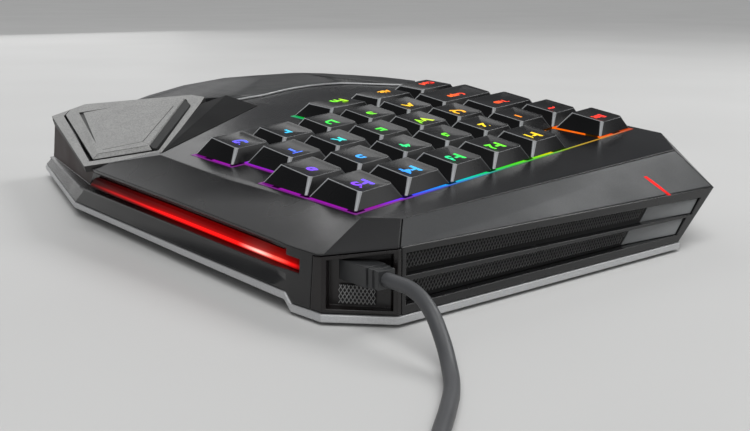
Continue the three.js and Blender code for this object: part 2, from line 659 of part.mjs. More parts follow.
const keyWell = prism(offsetOutline(fieldOutline, -keyClearance), -cut, cut, keyFrame);
const wellSkirtWidth = 1.4;
const skirtBottom = frameTop + fit;
const skirtOutline = offsetOutline(fieldOutline, -keyClearance - wellSkirtWidth);
const wellSkirt = prism(skirtOutline, skirtBottom, -wall / 2, keyFrame).intersect(outerBody);
const escapeGap = box(keyPitch - 2 * keyClearance + capGap, keyPitch + capGap, wall,
  (3 / 2 - fieldColumns) * keyPitch, -keyPitch / 2 + keyClearance, -wall / 2, keyFrame);
const cover = outerBody.subtract(hollow).add(wellSkirt).add(tray.intersect(outerBody))
  .subtract(keyWell).add(escapeGap)
  .subtract(footCut).subtract(blockCut).subtract(plateCut).subtract(facetCut).subtract(thumbCut)
  .subtract(trayHollow).subtract(thumbStemHole).subtract(rearCut(upperSlot)).subtract(rearCut(lowerSlot));

// Silver band round the foot of the shell

const bandPlan = offsetOutline(footPlan, -bandProud);
const bandInside = offsetOutline(footPlan, channelShare.map((c) => wall + c * channelDepth));
const bandTop = bandBottom.map((z) => z + bandThickness);
addPart("base_band", hoop([ring(bandPlan, bandBottom), ring(bandPlan, bandTop), ring(bandInside, bandTop),
  ring(bandInside, bandBottom)]), "silver");

// Light bar in the channel on the right side

const barSectionShares = [[0.7, 0.62], [0.74, 0.9], [0.5, 0.9], [0.5, 0.35]];
const barReachShare = 0.22;
const slotSpareShare = 0.02;
const slotInsideShare = 0.05;
const barStationShares = [
  ["channelEnd", "rightMiddle", -barReachShare], ["rightMiddle", "rightMiddle", 0],
  ["rightMiddle", "rightFront", 0.93],
];
const slotSectionShares = [[0.77, -0.6], [0.8, 1], [0.44, 1], [0.5, -0.6]];
const slotStationShares = [
  ["channelEnd", "rightMiddle", -barReachShare - slotSpareShare],
  ["channelEnd", "rightMiddle", slotInsideShare],
];
const cornerNames = Object.keys(outlineShares);
function barLoop(sectionShares, [from, to, along]) {
  return sectionShares.map(([height, depth]) => {
    const loop = wallRing(height, depth * channelDepth, 0);
    return loop[cornerNames.indexOf(from)].clone().lerp(loop[cornerNames.indexOf(to)], along);
  });
}
function rail(sections) {
  const count = sections[0].length;
  const faces = [];
  for (let k = 0; k + 1 < sections.length; k += 1) {
    for (let i = 0; i < count; i += 1) {
      const [a, b] = [k * count + i, k * count + (i + 1) % count];
      faces.push(a, b, b + count, a, b + count, a + count);
    }
  }
  const last = (sections.length - 1) * count;
  for (let i = 1; i + 1 < count; i += 1) faces.push(0, i + 1, i, last, last + i, last + i + 1);
  return solidFrom(sections, faces);
}
const barRail = (sectionShares, stations) => rail(stations.map((station) => barLoop(sectionShares, station)));
addPart("side_light_bar", barRail(barSectionShares, barStationShares), "light");
addPart("top_cover", cover.subtract(barRail(slotSectionShares, slotStationShares)), "shell");

// Bottom shell: floor, a rim inside the cover's foot, posts and a tower for the thumb dome

const slab = (low, high) => box(3 * bodyWidth, 2 * bodyLength, high - low,
  0, -bodyLength / 2, (low + high) / 2);
const shellFloor = standHeight + floorThickness;
const rimTop = Math.max(...footZ) + rimHeight;
const innerVolume = (inset) => loft(innerRings(inset));
// Places of the posts under the keys, as shares of the key field's width and length
const postShares = [
  [-0.1138, -0.1502], [-0.5298, -0.1366], [-0.9304, -0.1485],
  [-0.1509, -0.6937], [-0.5738, -0.6893], [-0.9135, -0.8904],
];
const postPlace = ([x, y]) => new THREE.Vector3(x * keyPitch * fieldColumns, y * keyPitch * fieldRows, 0)
  .applyMatrix4(keyFrame);
const boardShare = [-0.515, -0.64];
const boardWidth = 50;
const boardDepth = 34;
const boardThickness = 1.6;
const boardLow = 7;
const boardMargin = 5;
const boardCentre = planPoint(boardShare);
const boardCornerShares = [[-1, -1], [1, -1], [1, 1], [-1, 1]];
const postFoot = shellFloor - floorThickness / 2;
const upTo = (p, high) => stub(postRadius, postRadius, postFoot, high, stemSides, p.x, p.y);
const tallPosts = join(postShares.map((share) => upTo(postPlace(share), cut)))
  .subtract(prism(layerOutline, backingBottom - fit, cut, keyFrame));
const boardPosts = join(boardCornerShares.map(([sx, sy]) => upTo(new THREE.Vector2(
  boardCentre.x + sx * (boardWidth / 2 - boardMargin),
  boardCentre.y + sy * (boardDepth / 2 - boardMargin)), boardLow - fit)));
const towerRadius = thumbDomeRadius + 1;
const tower = stub(towerRadius, towerRadius, -cut, towerTop, domeSides,
  thumbStemAt.x, thumbStemAt.y, thumbFrame).intersect(slab(postFoot, cut));
const bottomRim = innerVolume(wall + fit).subtract(innerVolume(wall + fit + rimThickness))
  .intersect(slab(standHeight, rimTop)).subtract(blockCut)
  .subtract(prism(offsetOutline(grilleOutline, -fit), wall, 3 * wall, upright));
const bottomFloor = innerVolume(wall + fit).intersect(slab(standHeight, shellFloor));
addPart("bottom_shell", join([bottomFloor, bottomRim, tallPosts, boardPosts, tower]), "base");

const chipShares = [[-0.2, 0.1, 0.24, 0.3], [0.3, -0.2, 0.14, 0.2], [0.36, 0.32, 0.2, 0.24]];
const chipHeight = 1.4;
const board = join([
  box(boardWidth, boardDepth, boardThickness, boardCentre.x, boardCentre.y, boardLow + boardThickness / 2),
  ...chipShares.map(([x, y, w, d]) => box(w * boardWidth, d * boardDepth, chipHeight + fit,
    boardCentre.x + x * boardWidth, boardCentre.y + y * boardDepth,
    boardLow + boardThickness + chipHeight / 2 - fit / 2)),
]);
addPart("controller_board", board, "board");

const footShares = [[-0.1, -0.1], [-0.62, -0.08], [-0.72, -0.8], [-0.14, -0.84]];
const footWidth = 26;
const footDepth = 8;
footShares.map(planPoint).forEach((p, i) => {
  addPart(`foot_${i + 1}`, box(footWidth, footDepth, footThickness, p.x, p.y, footThickness / 2), "rubber");
});

// Strain relief in the bay, straight to the rear

const cableRadius = cableDiameter / 2;
const exitShare = [0.0303, 0.0074];
const exit = planPoint(exitShare);
const bootFront = -2.2;
const ribGap = 0.6;
const ribCount = 2;
const ribSlim = 0.25;
const coreHalfWidth = 2.2;
const bootMiddle = bootLow + bootHeight / 2;
const ribStep = (exit.y - bootFront) / ribCount;
const bootClip = prism(baySection(fit), -cut, bayDepth - fit, bayUpright)
  .add(box(bodyWidth, cut, cut, 0, fit + cut / 2, 0, bayMatrix));
const bootBack = -bayDepth * 5;
const along = (halfWidth, height, from, to) => box(2 * halfWidth, to - from, height, exit.x, (from + to) / 2,
  bootMiddle);
const ribs = Array.from({ length: ribCount }, (_, i) => along(bootHalfWidth - (i + 1) * ribSlim,
  bootHeight - (i + 1) * ribSlim, bootFront + i * ribStep + ribGap, bootFront + (i + 1) * ribStep));
const strainRelief = join([
  along(bootHalfWidth, bootHeight, bootBack, bootFront),
  along(coreHalfWidth, 2 * coreHalfWidth, bootFront - ribGap, exit.y - ribGap),
  ...ribs,
]).intersect(bootClip);
addPart("strain_relief", strainRelief, "rubber");

// Cable: a free run down to the floor, a tied coil, a tail and its plug

const floorClearance = 0.05;
const layZ = cableRadius + floorClearance;
const coilLow = layZ + tieThickness + fit;
const coilPitch = coilPitchShare * cableDiameter;
const coilMiddle = coilMiddleShare * cableDiameter;
const turnShare = 1 / 2;
const coilAside = 59.4;
const coilBehind = 113.2;
const coilCentre = new THREE.Vector2(coilAside, coilBehind);
const coilHeadingDegrees = 43.8;
const coilStartAngle = coilHeadingDegrees * radians - Math.PI / 2;
const coilHeading = new THREE.Vector3(-Math.sin(coilStartAngle), Math.cos(coilStartAngle), 0);
const radiusSpan = (loopsPerLayer - turnShare) * coilPitch;

// Radius and height after a number of loops: each layer spirals, then climbs where it reverses
function coilAt(loops) {
  const layer = Math.min(Math.floor(loops / loopsPerLayer), coilLayers - 1);
  const inLayer = loops - layer * loopsPerLayer;
  const reach = Math.min(inLayer * coilPitch, radiusSpan) - radiusSpan / 2;
  const climb = Math.max(inLayer - loopsPerLayer + turnShare, 0) / turnShare;
  const radius = coilMiddle + (layer % 2 === 0 ? -reach : reach);
  return { radius, height: coilLow + (layer + climb) * coilPitch };
}
const coilLoops = coilLayers * loopsPerLayer - 1;
const coilPoints = Array.from({ length: coilLoops * coilStepsPerLoop + 1 }, (_, i) => {
  const { radius, height } = coilAt(i / coilStepsPerLoop);
  const angle = coilStartAngle + i / coilStepsPerLoop * 2 * Math.PI;
  const plan = new THREE.Vector2(radius, 0).rotateAround(new THREE.Vector2(), angle).add(coilCentre);
  return new THREE.Vector3(plan.x, plan.y, height);
});
const coilStart = coilPoints[0].clone().addScaledVector(coilHeading, -cableDiameter);
const coilEnd = coilPoints[coilPoints.length - 1].clone().addScaledVector(coilHeading, cableDiameter);
const coilPath = [coilStart, ...coilPoints, coilEnd];

function leastGap(points, diameter, apart) {
  let least = Infinity;
  const line = new THREE.Line3();
  const nearest = new THREE.Vector3();
  points.forEach((p, i) => {
    for (let j = i + apart; j + 1 < points.length; j += 1) {
      line.set(points[j], points[j + 1]).closestPointToPoint(p, true, nearest);
      least = Math.min(least, p.distanceTo(nearest) - diameter);
    }
  });
  return least;
}
console.log("coil least gap", leastGap(coilPath, cableDiameter, coilStepsPerLoop / 2).toFixed(3));

const tube = (points, radius, sides) => rail(points.map((p, i) => {
  const before = points[Math.max(i - 1, 0)];
  const after = points[Math.min(i + 1, points.length - 1)];
  const tangent = after.clone().sub(before).normalize();
  const side = new THREE.Vector3(0, 0, 1).cross(tangent).normalize();
  const other = tangent.clone().cross(side);
  return Array.from({ length: sides }, (_, k) => {
    const angle = (k + 1 / 2) / sides * 2 * Math.PI;
    return p.clone().addScaledVector(side, radius * Math.cos(angle))
      .addScaledVector(other, radius * Math.sin(angle));
  });
}));
addPart("cable_coil", tube(coilPath, cableRadius, coilSides), "rubber");

// A tube along hand-chosen points: they are repeated in the scene
function freeTube(points, steps) {
  const path = new THREE.CatmullRomCurve3(points, false, "centripetal");
  const section = new THREE.Shape(Array.from({ length: cordSides }, (_, k) => {
    const angle = (k + 1 / 2) / cordSides * 2 * Math.PI;
    return new THREE.Vector2(cableRadius * Math.cos(angle), cableRadius * Math.sin(angle));
  }));
  return solidOf(new THREE.ExtrudeGeometry(section, { steps, extrudePath: path, bevelEnabled: false }));
}
const runPoints = [
  [0, fit, 0], [0, 3.5, 0], [0.2, 9.5, -0.3], [1.2, 16, -2.6], [3.4, 22.5, -7], [7.2, 29, -10.6],
  [12.5, 35.5, -11.6], [20, 42.5, -11.6], [29, 50, -11.6], [39.5, 59, -11.6], [50, 68.5, -11.6],
].map(([x, y, z]) => new THREE.Vector3(exit.x + x, exit.y + y, bootMiddle + z));
const runEnd = coilStart.clone().addScaledVector(coilHeading, -fit);
runPoints.push(runEnd.clone().addScaledVector(coilHeading, -cableDiameter * 2), runEnd);
const runSteps = 16;
addPart("cable_run", freeTube(runPoints, runSteps), "rubber");

const tailStart = coilEnd.clone().addScaledVector(coilHeading, fit);
const tailPoints = [tailStart, ...[
  [5, 0, 0], [12, 0, -0.3], [19, 0, -2.6], [27, 0.5, -7.2], [35, 3, -11.4], [41, 8, -13.6], [44.5, 16, -14.3],
  [44, 25, -14.3], [41.5, 33, -13.2], [38.5, 40, -12.6], [37, 43.5, -12.6],
].map(([along, aside, down]) => coilPoints[coilPoints.length - 1].clone()
  .addScaledVector(coilHeading, along)
  .add(new THREE.Vector3(-coilHeading.y * aside, coilHeading.x * aside, down)))];
const tailSteps = 12;
addPart("cable_tail", freeTube(tailPoints, tailSteps), "rubber");

// Tie round the bundle, opposite the place where the cable enters
const tieGap = 0.5;
const tieInnerWidth = radiusSpan + cableDiameter + 2 * tieGap;
const tieInnerHeight = (coilLayers - 1) * coilPitch + cableDiameter + tieGap + fit;
const tieLow = floorClearance;
const tieMatrix = new THREE.Matrix4().makeRotationZ(coilStartAngle + Math.PI)
  .setPosition(coilCentre.x, coilCentre.y, tieLow + tieThickness);
const tie = box(tieInnerWidth + 2 * tieThickness, tieWidth, tieInnerHeight + 2 * tieThickness,
  coilMiddle, 0, tieInnerHeight / 2, tieMatrix)
  .subtract(box(tieInnerWidth, 2 * tieWidth, tieInnerHeight, coilMiddle, 0, tieInnerHeight / 2, tieMatrix));
addPart("cable_tie", tie, "rubber");

// Plug, flat on the floor
const plugNeckLength = 7;
const plugNeckWide = 2.8;
const plugNeckNarrow = 2.4;
const plugBevel = 1.2;
const shellWall = 0.4;
const shellDepth = 10;
const tongueHeight = 1.6;
const tailEnd = tailPoints[tailPoints.length - 1];
const plugHeading = tailEnd.clone().sub(tailPoints[tailPoints.length - 2]).setZ(0).normalize();
const plugTurn = Math.atan2(plugHeading.y, plugHeading.x) - Math.PI / 2;
const plugMatrix = new THREE.Matrix4().makeRotationZ(plugTurn).setPosition(tailEnd);
const plugBack = fit + plugNeckLength;
const plugOutline = (bevel) => [
  [-plugWidth / 2 + bevel, 0], [plugWidth / 2 - bevel, 0], [plugWidth / 2 - bevel, plugLength],
  [-plugWidth / 2 + bevel, plugLength],
].map(([x, y]) => new THREE.Vector2(x, y + plugBack));
const plugBody = loft([
  ring(plugOutline(plugBevel), -plugHeight / 2), ring(plugOutline(0), -plugHeight / 2 + plugBevel),
  ring(plugOutline(0), plugHeight / 2 - plugBevel), ring(plugOutline(plugBevel), plugHeight / 2),
]).add(stub(plugNeckNarrow, plugNeckWide, fit, plugBack + plugBevel, cordSides, 0, 0,
  new THREE.Matrix4().makeRotationX(-Math.PI / 2)));
addPart("plug_body", plugBody.transform(plugMatrix.elements), "rubber");
const shellStart = plugBack + plugLength + fit;
const shellMiddle = shellStart + plugShellLength / 2;
const plugShell = box(plugShellWidth, plugShellLength, plugShellHeight, 0, shellMiddle, 0)
  .subtract(box(plugShellWidth - 2 * shellWall, 2 * shellDepth, plugShellHeight - 2 * shellWall,
    0, shellStart + plugShellLength, 0))
  .add(box(plugShellWidth - 4 * shellWall, shellDepth, tongueHeight, 0, shellMiddle, plugShellHeight / 6));
addPart("plug_shell", plugShell.transform(plugMatrix.elements), "silver");

// The origin is the middle of the object's foot, without the cable
const cableNames = ["cable_run", "cable_coil", "cable_tail", "cable_tie", "plug_body", "plug_shell"];
part.updateMatrixWorld(true);
const extent = new THREE.Box3();
part.traverse((node) => {
  if (node.isMesh && !cableNames.includes(node.name)) extent.expandByObject(node, true);
});
const middle = extent.getCenter(new THREE.Vector3());
part.position.set(-middle.x, -middle.y, -extent.min.z);
part.updateMatrixWorld(true);

export default part;
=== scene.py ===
# %% [markdown]
# # A lit one-hand keypad
# The real object is a low case of moulded plastic with 28 lit keys, a domed palm rest, a
# silver thumb plate and a cable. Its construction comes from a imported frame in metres.
# This script adds what the eye sees: rounded edges, finishes, meshes, lettering and light.

# %% Frame, units and scene
import math

import bmesh
import bpy
from mathutils import Matrix, Vector


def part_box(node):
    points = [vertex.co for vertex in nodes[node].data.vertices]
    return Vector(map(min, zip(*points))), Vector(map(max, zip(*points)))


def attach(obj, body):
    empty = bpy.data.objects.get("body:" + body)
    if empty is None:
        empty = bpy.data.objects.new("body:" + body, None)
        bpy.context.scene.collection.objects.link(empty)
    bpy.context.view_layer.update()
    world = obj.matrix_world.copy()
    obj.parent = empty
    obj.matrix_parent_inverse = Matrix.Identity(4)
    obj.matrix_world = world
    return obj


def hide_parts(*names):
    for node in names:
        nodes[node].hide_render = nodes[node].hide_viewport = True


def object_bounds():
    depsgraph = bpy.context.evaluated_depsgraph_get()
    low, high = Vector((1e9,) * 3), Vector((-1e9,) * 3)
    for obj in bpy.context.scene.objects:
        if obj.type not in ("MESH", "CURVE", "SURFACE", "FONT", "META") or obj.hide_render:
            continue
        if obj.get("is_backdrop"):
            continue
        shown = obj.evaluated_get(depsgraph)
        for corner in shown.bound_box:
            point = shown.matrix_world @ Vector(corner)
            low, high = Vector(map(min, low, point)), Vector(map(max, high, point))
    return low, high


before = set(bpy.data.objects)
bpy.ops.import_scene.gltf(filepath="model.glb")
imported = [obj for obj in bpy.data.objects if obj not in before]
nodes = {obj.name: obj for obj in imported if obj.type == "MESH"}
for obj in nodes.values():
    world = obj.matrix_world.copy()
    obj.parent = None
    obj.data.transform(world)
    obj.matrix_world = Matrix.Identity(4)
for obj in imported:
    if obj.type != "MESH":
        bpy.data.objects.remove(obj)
cad_low, cad_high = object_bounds()
MM = 0.001
scene = bpy.context.scene
print("nodes:", len(nodes), "box in mm:", [round(x / MM, 1) for x in cad_high - cad_low])

# %% [markdown]
# ## The camera
# The photograph looks down from the rear right corner. Its view can be guessed by eye, or
# solved from the keys, which stand at a known pitch. It was solved, so the values below
# are a focal length in pixels of the photograph, three angles and a place. The plain view
# transform keeps the coloured light of the keys pure, where a filmic one would bleach it.

# %% Camera
PHOTO_WIDTH = 750
SENSOR_WIDTH = 36.0
FOCAL_PIXELS = 1010.9
VIEW_AZIMUTH = math.radians(-129.150)
VIEW_ELEVATION = math.radians(13.021)
VIEW_ROLL = math.radians(0.105)
CAMERA_PLACE = Vector((215.421, 294.974, 80.622)) * MM
NEAREST = 0.01

forward = Vector((math.cos(VIEW_ELEVATION) * math.cos(VIEW_AZIMUTH),
                  math.cos(VIEW_ELEVATION) * math.sin(VIEW_AZIMUTH), -math.sin(VIEW_ELEVATION)))
level = Vector((math.sin(VIEW_AZIMUTH), -math.cos(VIEW_AZIMUTH), 0))
upright = level.cross(forward)
right = level * math.cos(VIEW_ROLL) + upright * math.sin(VIEW_ROLL)
up = right.cross(forward)
lens = bpy.data.cameras.new("camera")
lens.sensor_width = SENSOR_WIDTH
lens.lens = FOCAL_PIXELS / PHOTO_WIDTH * SENSOR_WIDTH
lens.clip_start = NEAREST
camera = bpy.data.objects.new("camera", lens)
scene.collection.objects.link(camera)
camera_turn = Matrix((right, up, -forward)).transposed().to_4x4()
camera.matrix_world = Matrix.Translation(CAMERA_PLACE) @ camera_turn
scene.camera = camera
scene.view_settings.view_transform = "Standard"
print("lens in mm:", round(lens.lens, 2))

# %% [markdown]
# ## Where the cable goes
# A real lead of about 3.5 mm leaves the strain relief, falls to the desk and is put away in
# a tied coil. Its free stretches go through listed points, in mm: the first ones from
# the exit, and the last ones from the coil's end, along the coil's heading and aside from it.

# %% Free stretches of the cable
CABLE_DIAMETER = 3.5
run_points = [
    (0, 0, 0), (0, 3.5, 0), (0.2, 9.5, -0.3), (1.2, 16, -2.6), (3.4, 22.5, -7), (7.2, 29, -10.6),
    (12.5, 35.5, -11.6), (20, 42.5, -11.6), (29, 50, -11.6), (39.5, 59, -11.6), (50, 68.5, -11.6),
]
tail_points = [
    (5, 0, 0), (12, 0, -0.3), (19, 0, -2.6), (27, 0.5, -7.2), (35, 3, -11.4), (41, 8, -13.6),
    (44.5, 16, -14.3), (44, 25, -14.3), (41.5, 33, -13.2), (38.5, 40, -12.6), (37, 43.5, -12.6),
]
relief_low, relief_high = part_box("strain_relief")
cable_exit = Vector(((relief_low.x + relief_high.x) / 2, relief_high.y,
                     (relief_low.z + relief_high.z) / 2))
print("exit in mm:", [round(x / MM, 1) for x in cable_exit])

# %% [markdown]
# ## The coil
# The loops come from a formula. The first layer spirals inward, the next one outward and so
# on, with a climb where the spiral turns back, so the turns lie beside and on each other.

# %% Coil and whole route
LAYERS, LOOPS_PER_LAYER, STEPS_PER_LOOP = 4, 3, 24
TURN_BACK = 0.5
COIL_PITCH = 1.28 * CABLE_DIAMETER
COIL_MIDDLE = 6 * CABLE_DIAMETER
COIL_LOW = 2.8
COIL_FROM_EXIT = Vector((54.4, 111.4))
COIL_START = math.radians(-46.2)
RADIUS_SPAN = (LOOPS_PER_LAYER - TURN_BACK) * COIL_PITCH
heading = Vector((-math.sin(COIL_START), math.cos(COIL_START), 0))
aside = Vector((-heading.y, heading.x, 0))


def coil_point(loops):
    """A point of the coil, in mm, after a number of loops."""
    layer = min(int(loops // LOOPS_PER_LAYER), LAYERS - 1)
    within = loops - layer * LOOPS_PER_LAYER
    reach = min(within * COIL_PITCH, RADIUS_SPAN) - RADIUS_SPAN / 2
    climb = max(within - LOOPS_PER_LAYER + TURN_BACK, 0) / TURN_BACK
    radius = COIL_MIDDLE + (reach if layer % 2 else -reach)
    angle = COIL_START + loops * 2 * math.pi
    centre = cable_exit.xy / MM + COIL_FROM_EXIT
    return Vector((centre.x + radius * math.cos(angle), centre.y + radius * math.sin(angle),
                   COIL_LOW + (layer + climb) * COIL_PITCH))


coil_steps = (LAYERS * LOOPS_PER_LAYER - 1) * STEPS_PER_LOOP
coil = [coil_point(i / STEPS_PER_LOOP) for i in range(coil_steps + 1)]
route = [cable_exit / MM + Vector(p) for p in run_points]
route += [coil[0] - heading * CABLE_DIAMETER * share for share in (3, 1)]
route += coil + [coil[-1] + heading * CABLE_DIAMETER]
for ahead, side, down in tail_points:
    route.append(coil[-1] + heading * ahead + aside * side + Vector((0, 0, down)))
print("route points:", len(route))

# %% [markdown]
# ## The cable
# A mesh tube would do, but one curve with a round bevel is the simplest way to keep the
# lead's length true. Each point's radius multiplies the bevel, and it is also what the
# object's box allows for, so the bevel is 1 and the points hold the real radius.

# %% Cable
curve = bpy.data.curves.new("cable", "CURVE")
curve.dimensions = "3D"
curve.bevel_depth = 1.0
curve.bevel_resolution = 4
curve.resolution_u = 4
curve.use_fill_caps = True
spline = curve.splines.new("BEZIER")
spline.bezier_points.add(len(route) - 1)
for point, place in zip(spline.bezier_points, route):
    point.co = place * MM
    point.radius = CABLE_DIAMETER / 2 * MM
    point.handle_left_type = point.handle_right_type = "AUTO"
cable = bpy.data.objects.new("cable", curve)
scene.collection.objects.link(cable)
bpy.context.view_layer.update()
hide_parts("cable_run", "cable_coil", "cable_tail")
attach(cable, "housing")

# %% [markdown]
# ## Colours and nodes
# Colours are picked as sRGB hex values, as a paint chart gives them, and the renderer works
# in linear light, so one function turns them. One more adds a shader node with its settings
# and links, and the same feed gives the shader's own sockets their values at the end.

# %% Helpers for materials


def linear(hex_colour):
    """An sRGB hex colour as linear red, green, blue and alpha."""
    shares = [int(hex_colour[i:i + 2], 16) / 255 for i in (1, 3, 5)]
    straight = [c / 12.92 if c <= 0.04045 else ((c + 0.055) / 1.055) ** 2.4 for c in shares]
    return (*straight, 1.0)


def feed(node, inputs):
    """Gives each named socket a value, or another node's output to link."""
    for socket, value in inputs.items():
        if isinstance(value, bpy.types.NodeSocket):
            node.id_data.links.new(value, node.inputs[socket])
        else:
            node.inputs[socket].default_value = value


def add(tree, kind, inputs=None, stops=(), **settings):
    """Adds a node with its inputs and settings. stops gives a colour ramp its hex colours at
    shares of its length."""
    node = tree.nodes.new("ShaderNode" + kind)
    for name, value in settings.items():
        setattr(node, name, value)
    feed(node, inputs or {})
    for number, (place, colour) in enumerate(stops):
        elements = node.color_ramp.elements
        element = elements[number] if number < len(elements) else elements.new(place)
        element.position = place
        element.color = linear(colour)
    return node


def start_material(name):
    """A new material with its node tree, its shader and the object's own coordinates."""
    material = bpy.data.materials.new(name)
    material.use_nodes = True
    tree = material.node_tree
    return material, tree, tree.nodes["Principled BSDF"], add(tree, "TexCoord").outputs["Object"]


print("linear mid grey:", round(linear("#808080")[0], 4))

# %% [markdown]
# ## Two things that plastics and paints share
# Plain colour would look like card. Broad, weak noise varies the roughness of each surface,
# as handling and the mould do. A small bevel in the shading rounds the sharp moulded edges,
# so that they catch light, and the grain turns the surface on top of it.

# %% Clouds and grain
CLOUD_ENDS = (0.3, 0.7)
BEVEL_SAMPLES = 4
EDGE_RADIUS = 0.45


def clouded(tree, place, size, roughness, less, more):
    """Broad noise of a size in mm, and a roughness that follows it between two limits."""
    cloud = add(tree, "TexNoise", {"Vector": place, "Scale": 1 / (size * MM)}).outputs["Fac"]
    spread = add(tree, "MapRange", {"Value": cloud, "To Min": roughness - less,
                                    "To Max": roughness + more, "From Min": CLOUD_ENDS[0],
                                    "From Max": CLOUD_ENDS[1]})
    return cloud, spread.outputs["Result"]


def grained(tree, height, depth, strength, edge=EDGE_RADIUS):
    """The surface's direction: edges rounded by a radius in mm, and a grain of a depth in mm."""
    corner = add(tree, "Bevel", {"Radius": edge * MM}, samples=BEVEL_SAMPLES)
    bump = add(tree, "Bump", {"Height": height, "Distance": depth * MM, "Strength": strength,
                              "Normal": corner.outputs["Normal"]})
    return bump.outputs["Normal"]


print("edges rounded in mm:", EDGE_RADIUS)

# %% [markdown]
# ## Moulded plastic
# The case is ABS, and its satin comes from a mould that was spark-eroded: grains of about
# 0.1 mm that only show as a soft sheen. An image of grain would repeat, so noise draws it as
# bump, a little coarser than real. The palm rest has moulded dimples in even rows.

# %% Moulded plastics
GRAIN = 0.35
PLASTIC_CLOUD, PLASTIC_SPREAD = 22, 0.05
GRAIN_STRENGTH = 0.5
COAT_ROUGHNESS = 0.12


def moulded(name, dark, light, roughness, grain=GRAIN, depth=0.04, edge=EDGE_RADIUS, coat=0.0,
            dimples=False, specular=0.5):
    """Moulded plastic: two close shades, a grain in mm, its depth in mm and its edge radius."""
    material, tree, shader, place = start_material(name)
    if dimples:
        height = add(tree, "TexVoronoi", {"Vector": place, "Scale": 1 / (grain * MM),
                                          "Randomness": 0.0}).outputs["Distance"]
    else:
        height = add(tree, "TexNoise", {"Vector": place, "Scale": 1 / (grain * MM),
                                        "Detail": 3.0}).outputs["Fac"]
    cloud, spread = clouded(tree, place, PLASTIC_CLOUD, roughness, PLASTIC_SPREAD, PLASTIC_SPREAD)
    colour = add(tree, "ValToRGB", {"Fac": cloud}, stops=zip(CLOUD_ENDS, (dark, light)))
    feed(shader, {"Base Color": colour.outputs["Color"], "Roughness": spread,
                  "Normal": grained(tree, height, depth, GRAIN_STRENGTH, edge),
                  "Specular IOR Level": specular, "Coat Weight": coat,
                  "Coat Roughness": COAT_ROUGHNESS})
    return material


case_abs = moulded("satin_black_abs", "#111112", "#171718", 0.24)
base_abs = moulded("matt_black_abs", "#0b0b0c", "#101011", 0.6)
# The faint red in this black is a painted reflection of the red light bar.
block_abs = moulded("polished_black_abs_painted_red_reflection", "#0b0707", "#0f0909", 0.3, depth=0.01)
# The reddish tint is a painted reflection of the red light bar.
side_red_reflection_abs = moulded("matt_abs_painted_red_reflection", "#2b1d1c", "#332321", 0.55, specular=0.2)
facet_abs = moulded("etched_black_abs", "#0b0b0c", "#0f0f10", 0.6, specular=0.12)
corner_abs = moulded("etched_corner_abs", "#141415", "#19191a", 0.6, specular=0.22)
palm_abs = moulded("dimpled_palm_abs", "#1b1c1d", "#262728", 0.42, grain=1.1, depth=0.3, edge=0.6,
                   dimples=True)
# The pockets' pale grey is painted light on their sloped faces.
lit_pocket_abs = moulded("pocket_abs_painted_light", "#747677", "#7e8081", 0.4)
# The grooves' grey is painted shade.
groove_shade = moulded("shaded_groove", "#3c3c3c", "#484847", 0.6)
# Walls in narrow gaps are painted dark as shade.
gap_shade = moulded("wall_painted_shade", "#1a1817", "#221f1e", 0.55)
cap_abs = moulded("satin_key_abs", "#09090a", "#0e0e0f", 0.26, depth=0.02, edge=0.2)
# Painted highlights for the caps' edges: a bright one and a dim one.
cap_highlight_abs = moulded("painted_key_highlight", "#8d8f91", "#9b9d9f", 0.3, depth=0.01, edge=0.2)
cap_dim_highlight_abs = moulded("painted_dim_key_highlight", "#3c3d3e", "#454647", 0.3, depth=0.01, edge=0.2)
print("materials so far:", len(bpy.data.materials))

# %% [markdown]
# ## Painted and metal parts
# The thumb plate and its frame wear a silver paint with metal flakes, the band at the foot a
# smoother one. Flakes are tiny mirrors at odd angles, so each cell of a fine Voronoi pattern
# turns the surface a little. They are drawn at 0.2 to 0.6 mm, because real ones would vanish.

# %% Paints and metals
FLAKE, FLAKE_DEPTH = 0.35, 0.03
FLAKE_ENDS = (0.1, 0.9)
PAINT_CLOUD, PAINT_LESS, PAINT_MORE = 15, 0.04, 0.06


def flake_paint(name, dark, light, roughness, metallic, strength, flake=FLAKE):
    """Metal-flake paint: shades, roughness, the flakes' strength and their size in mm."""
    material, tree, shader, place = start_material(name)
    flakes = add(tree, "TexVoronoi", {"Vector": place, "Scale": 1 / (flake * MM)})
    shade = add(tree, "SeparateColor", {"Color": flakes.outputs["Color"]}).outputs["Red"]
    spread = clouded(tree, place, PAINT_CLOUD, roughness, PAINT_LESS, PAINT_MORE)[1]
    colour = add(tree, "ValToRGB", {"Fac": shade}, stops=zip(FLAKE_ENDS, (dark, light)))
    feed(shader, {"Base Color": colour.outputs["Color"], "Roughness": spread,
                  "Normal": grained(tree, shade, FLAKE_DEPTH, strength), "Metallic": metallic})
    return material


silver_paint = flake_paint("sparkle_silver_paint", "#737372", "#979795", 0.5, 0.12, 0.14)
band_paint = flake_paint("satin_silver_paint", "#b4b5b6", "#bebfc0", 0.36, 0.4, 0.06, flake=0.25)
rim_paint = flake_paint("plated_rim", "#8a8b8c", "#979899", 0.36, 0.4, 0.06, flake=0.25)
slope_paint = flake_paint("gunmetal_paint", "#333435", "#3a3b3c", 0.52, 0.3, 0.1, flake=0.25)
wire_metal = flake_paint("pressed_steel_wire", "#a2a2a2", "#b8b8b8", 0.35, 0.5, 0.1, flake=0.2)
slot_wire = flake_paint("blackened_steel_wire", "#6a6a6a", "#787878", 0.4, 0.5, 0.1, flake=0.2)
shell_metal = flake_paint("nickel_plate", "#b2b3b5", "#c6c7c9", 0.22, 1.0, 0.05, flake=0.6)
steel_plate = flake_paint("rolled_steel", "#85888b", "#989b9e", 0.4, 0.9, 0.08, flake=0.5)
print("materials so far:", len(bpy.data.materials))

# %% [markdown]
# ## Rubber, silicone and the board
# Soft pieces are matt, and each has a grain of its own. The circuit board's green is a thin
# lacquer over copper, so a coat lies over its mottled green.

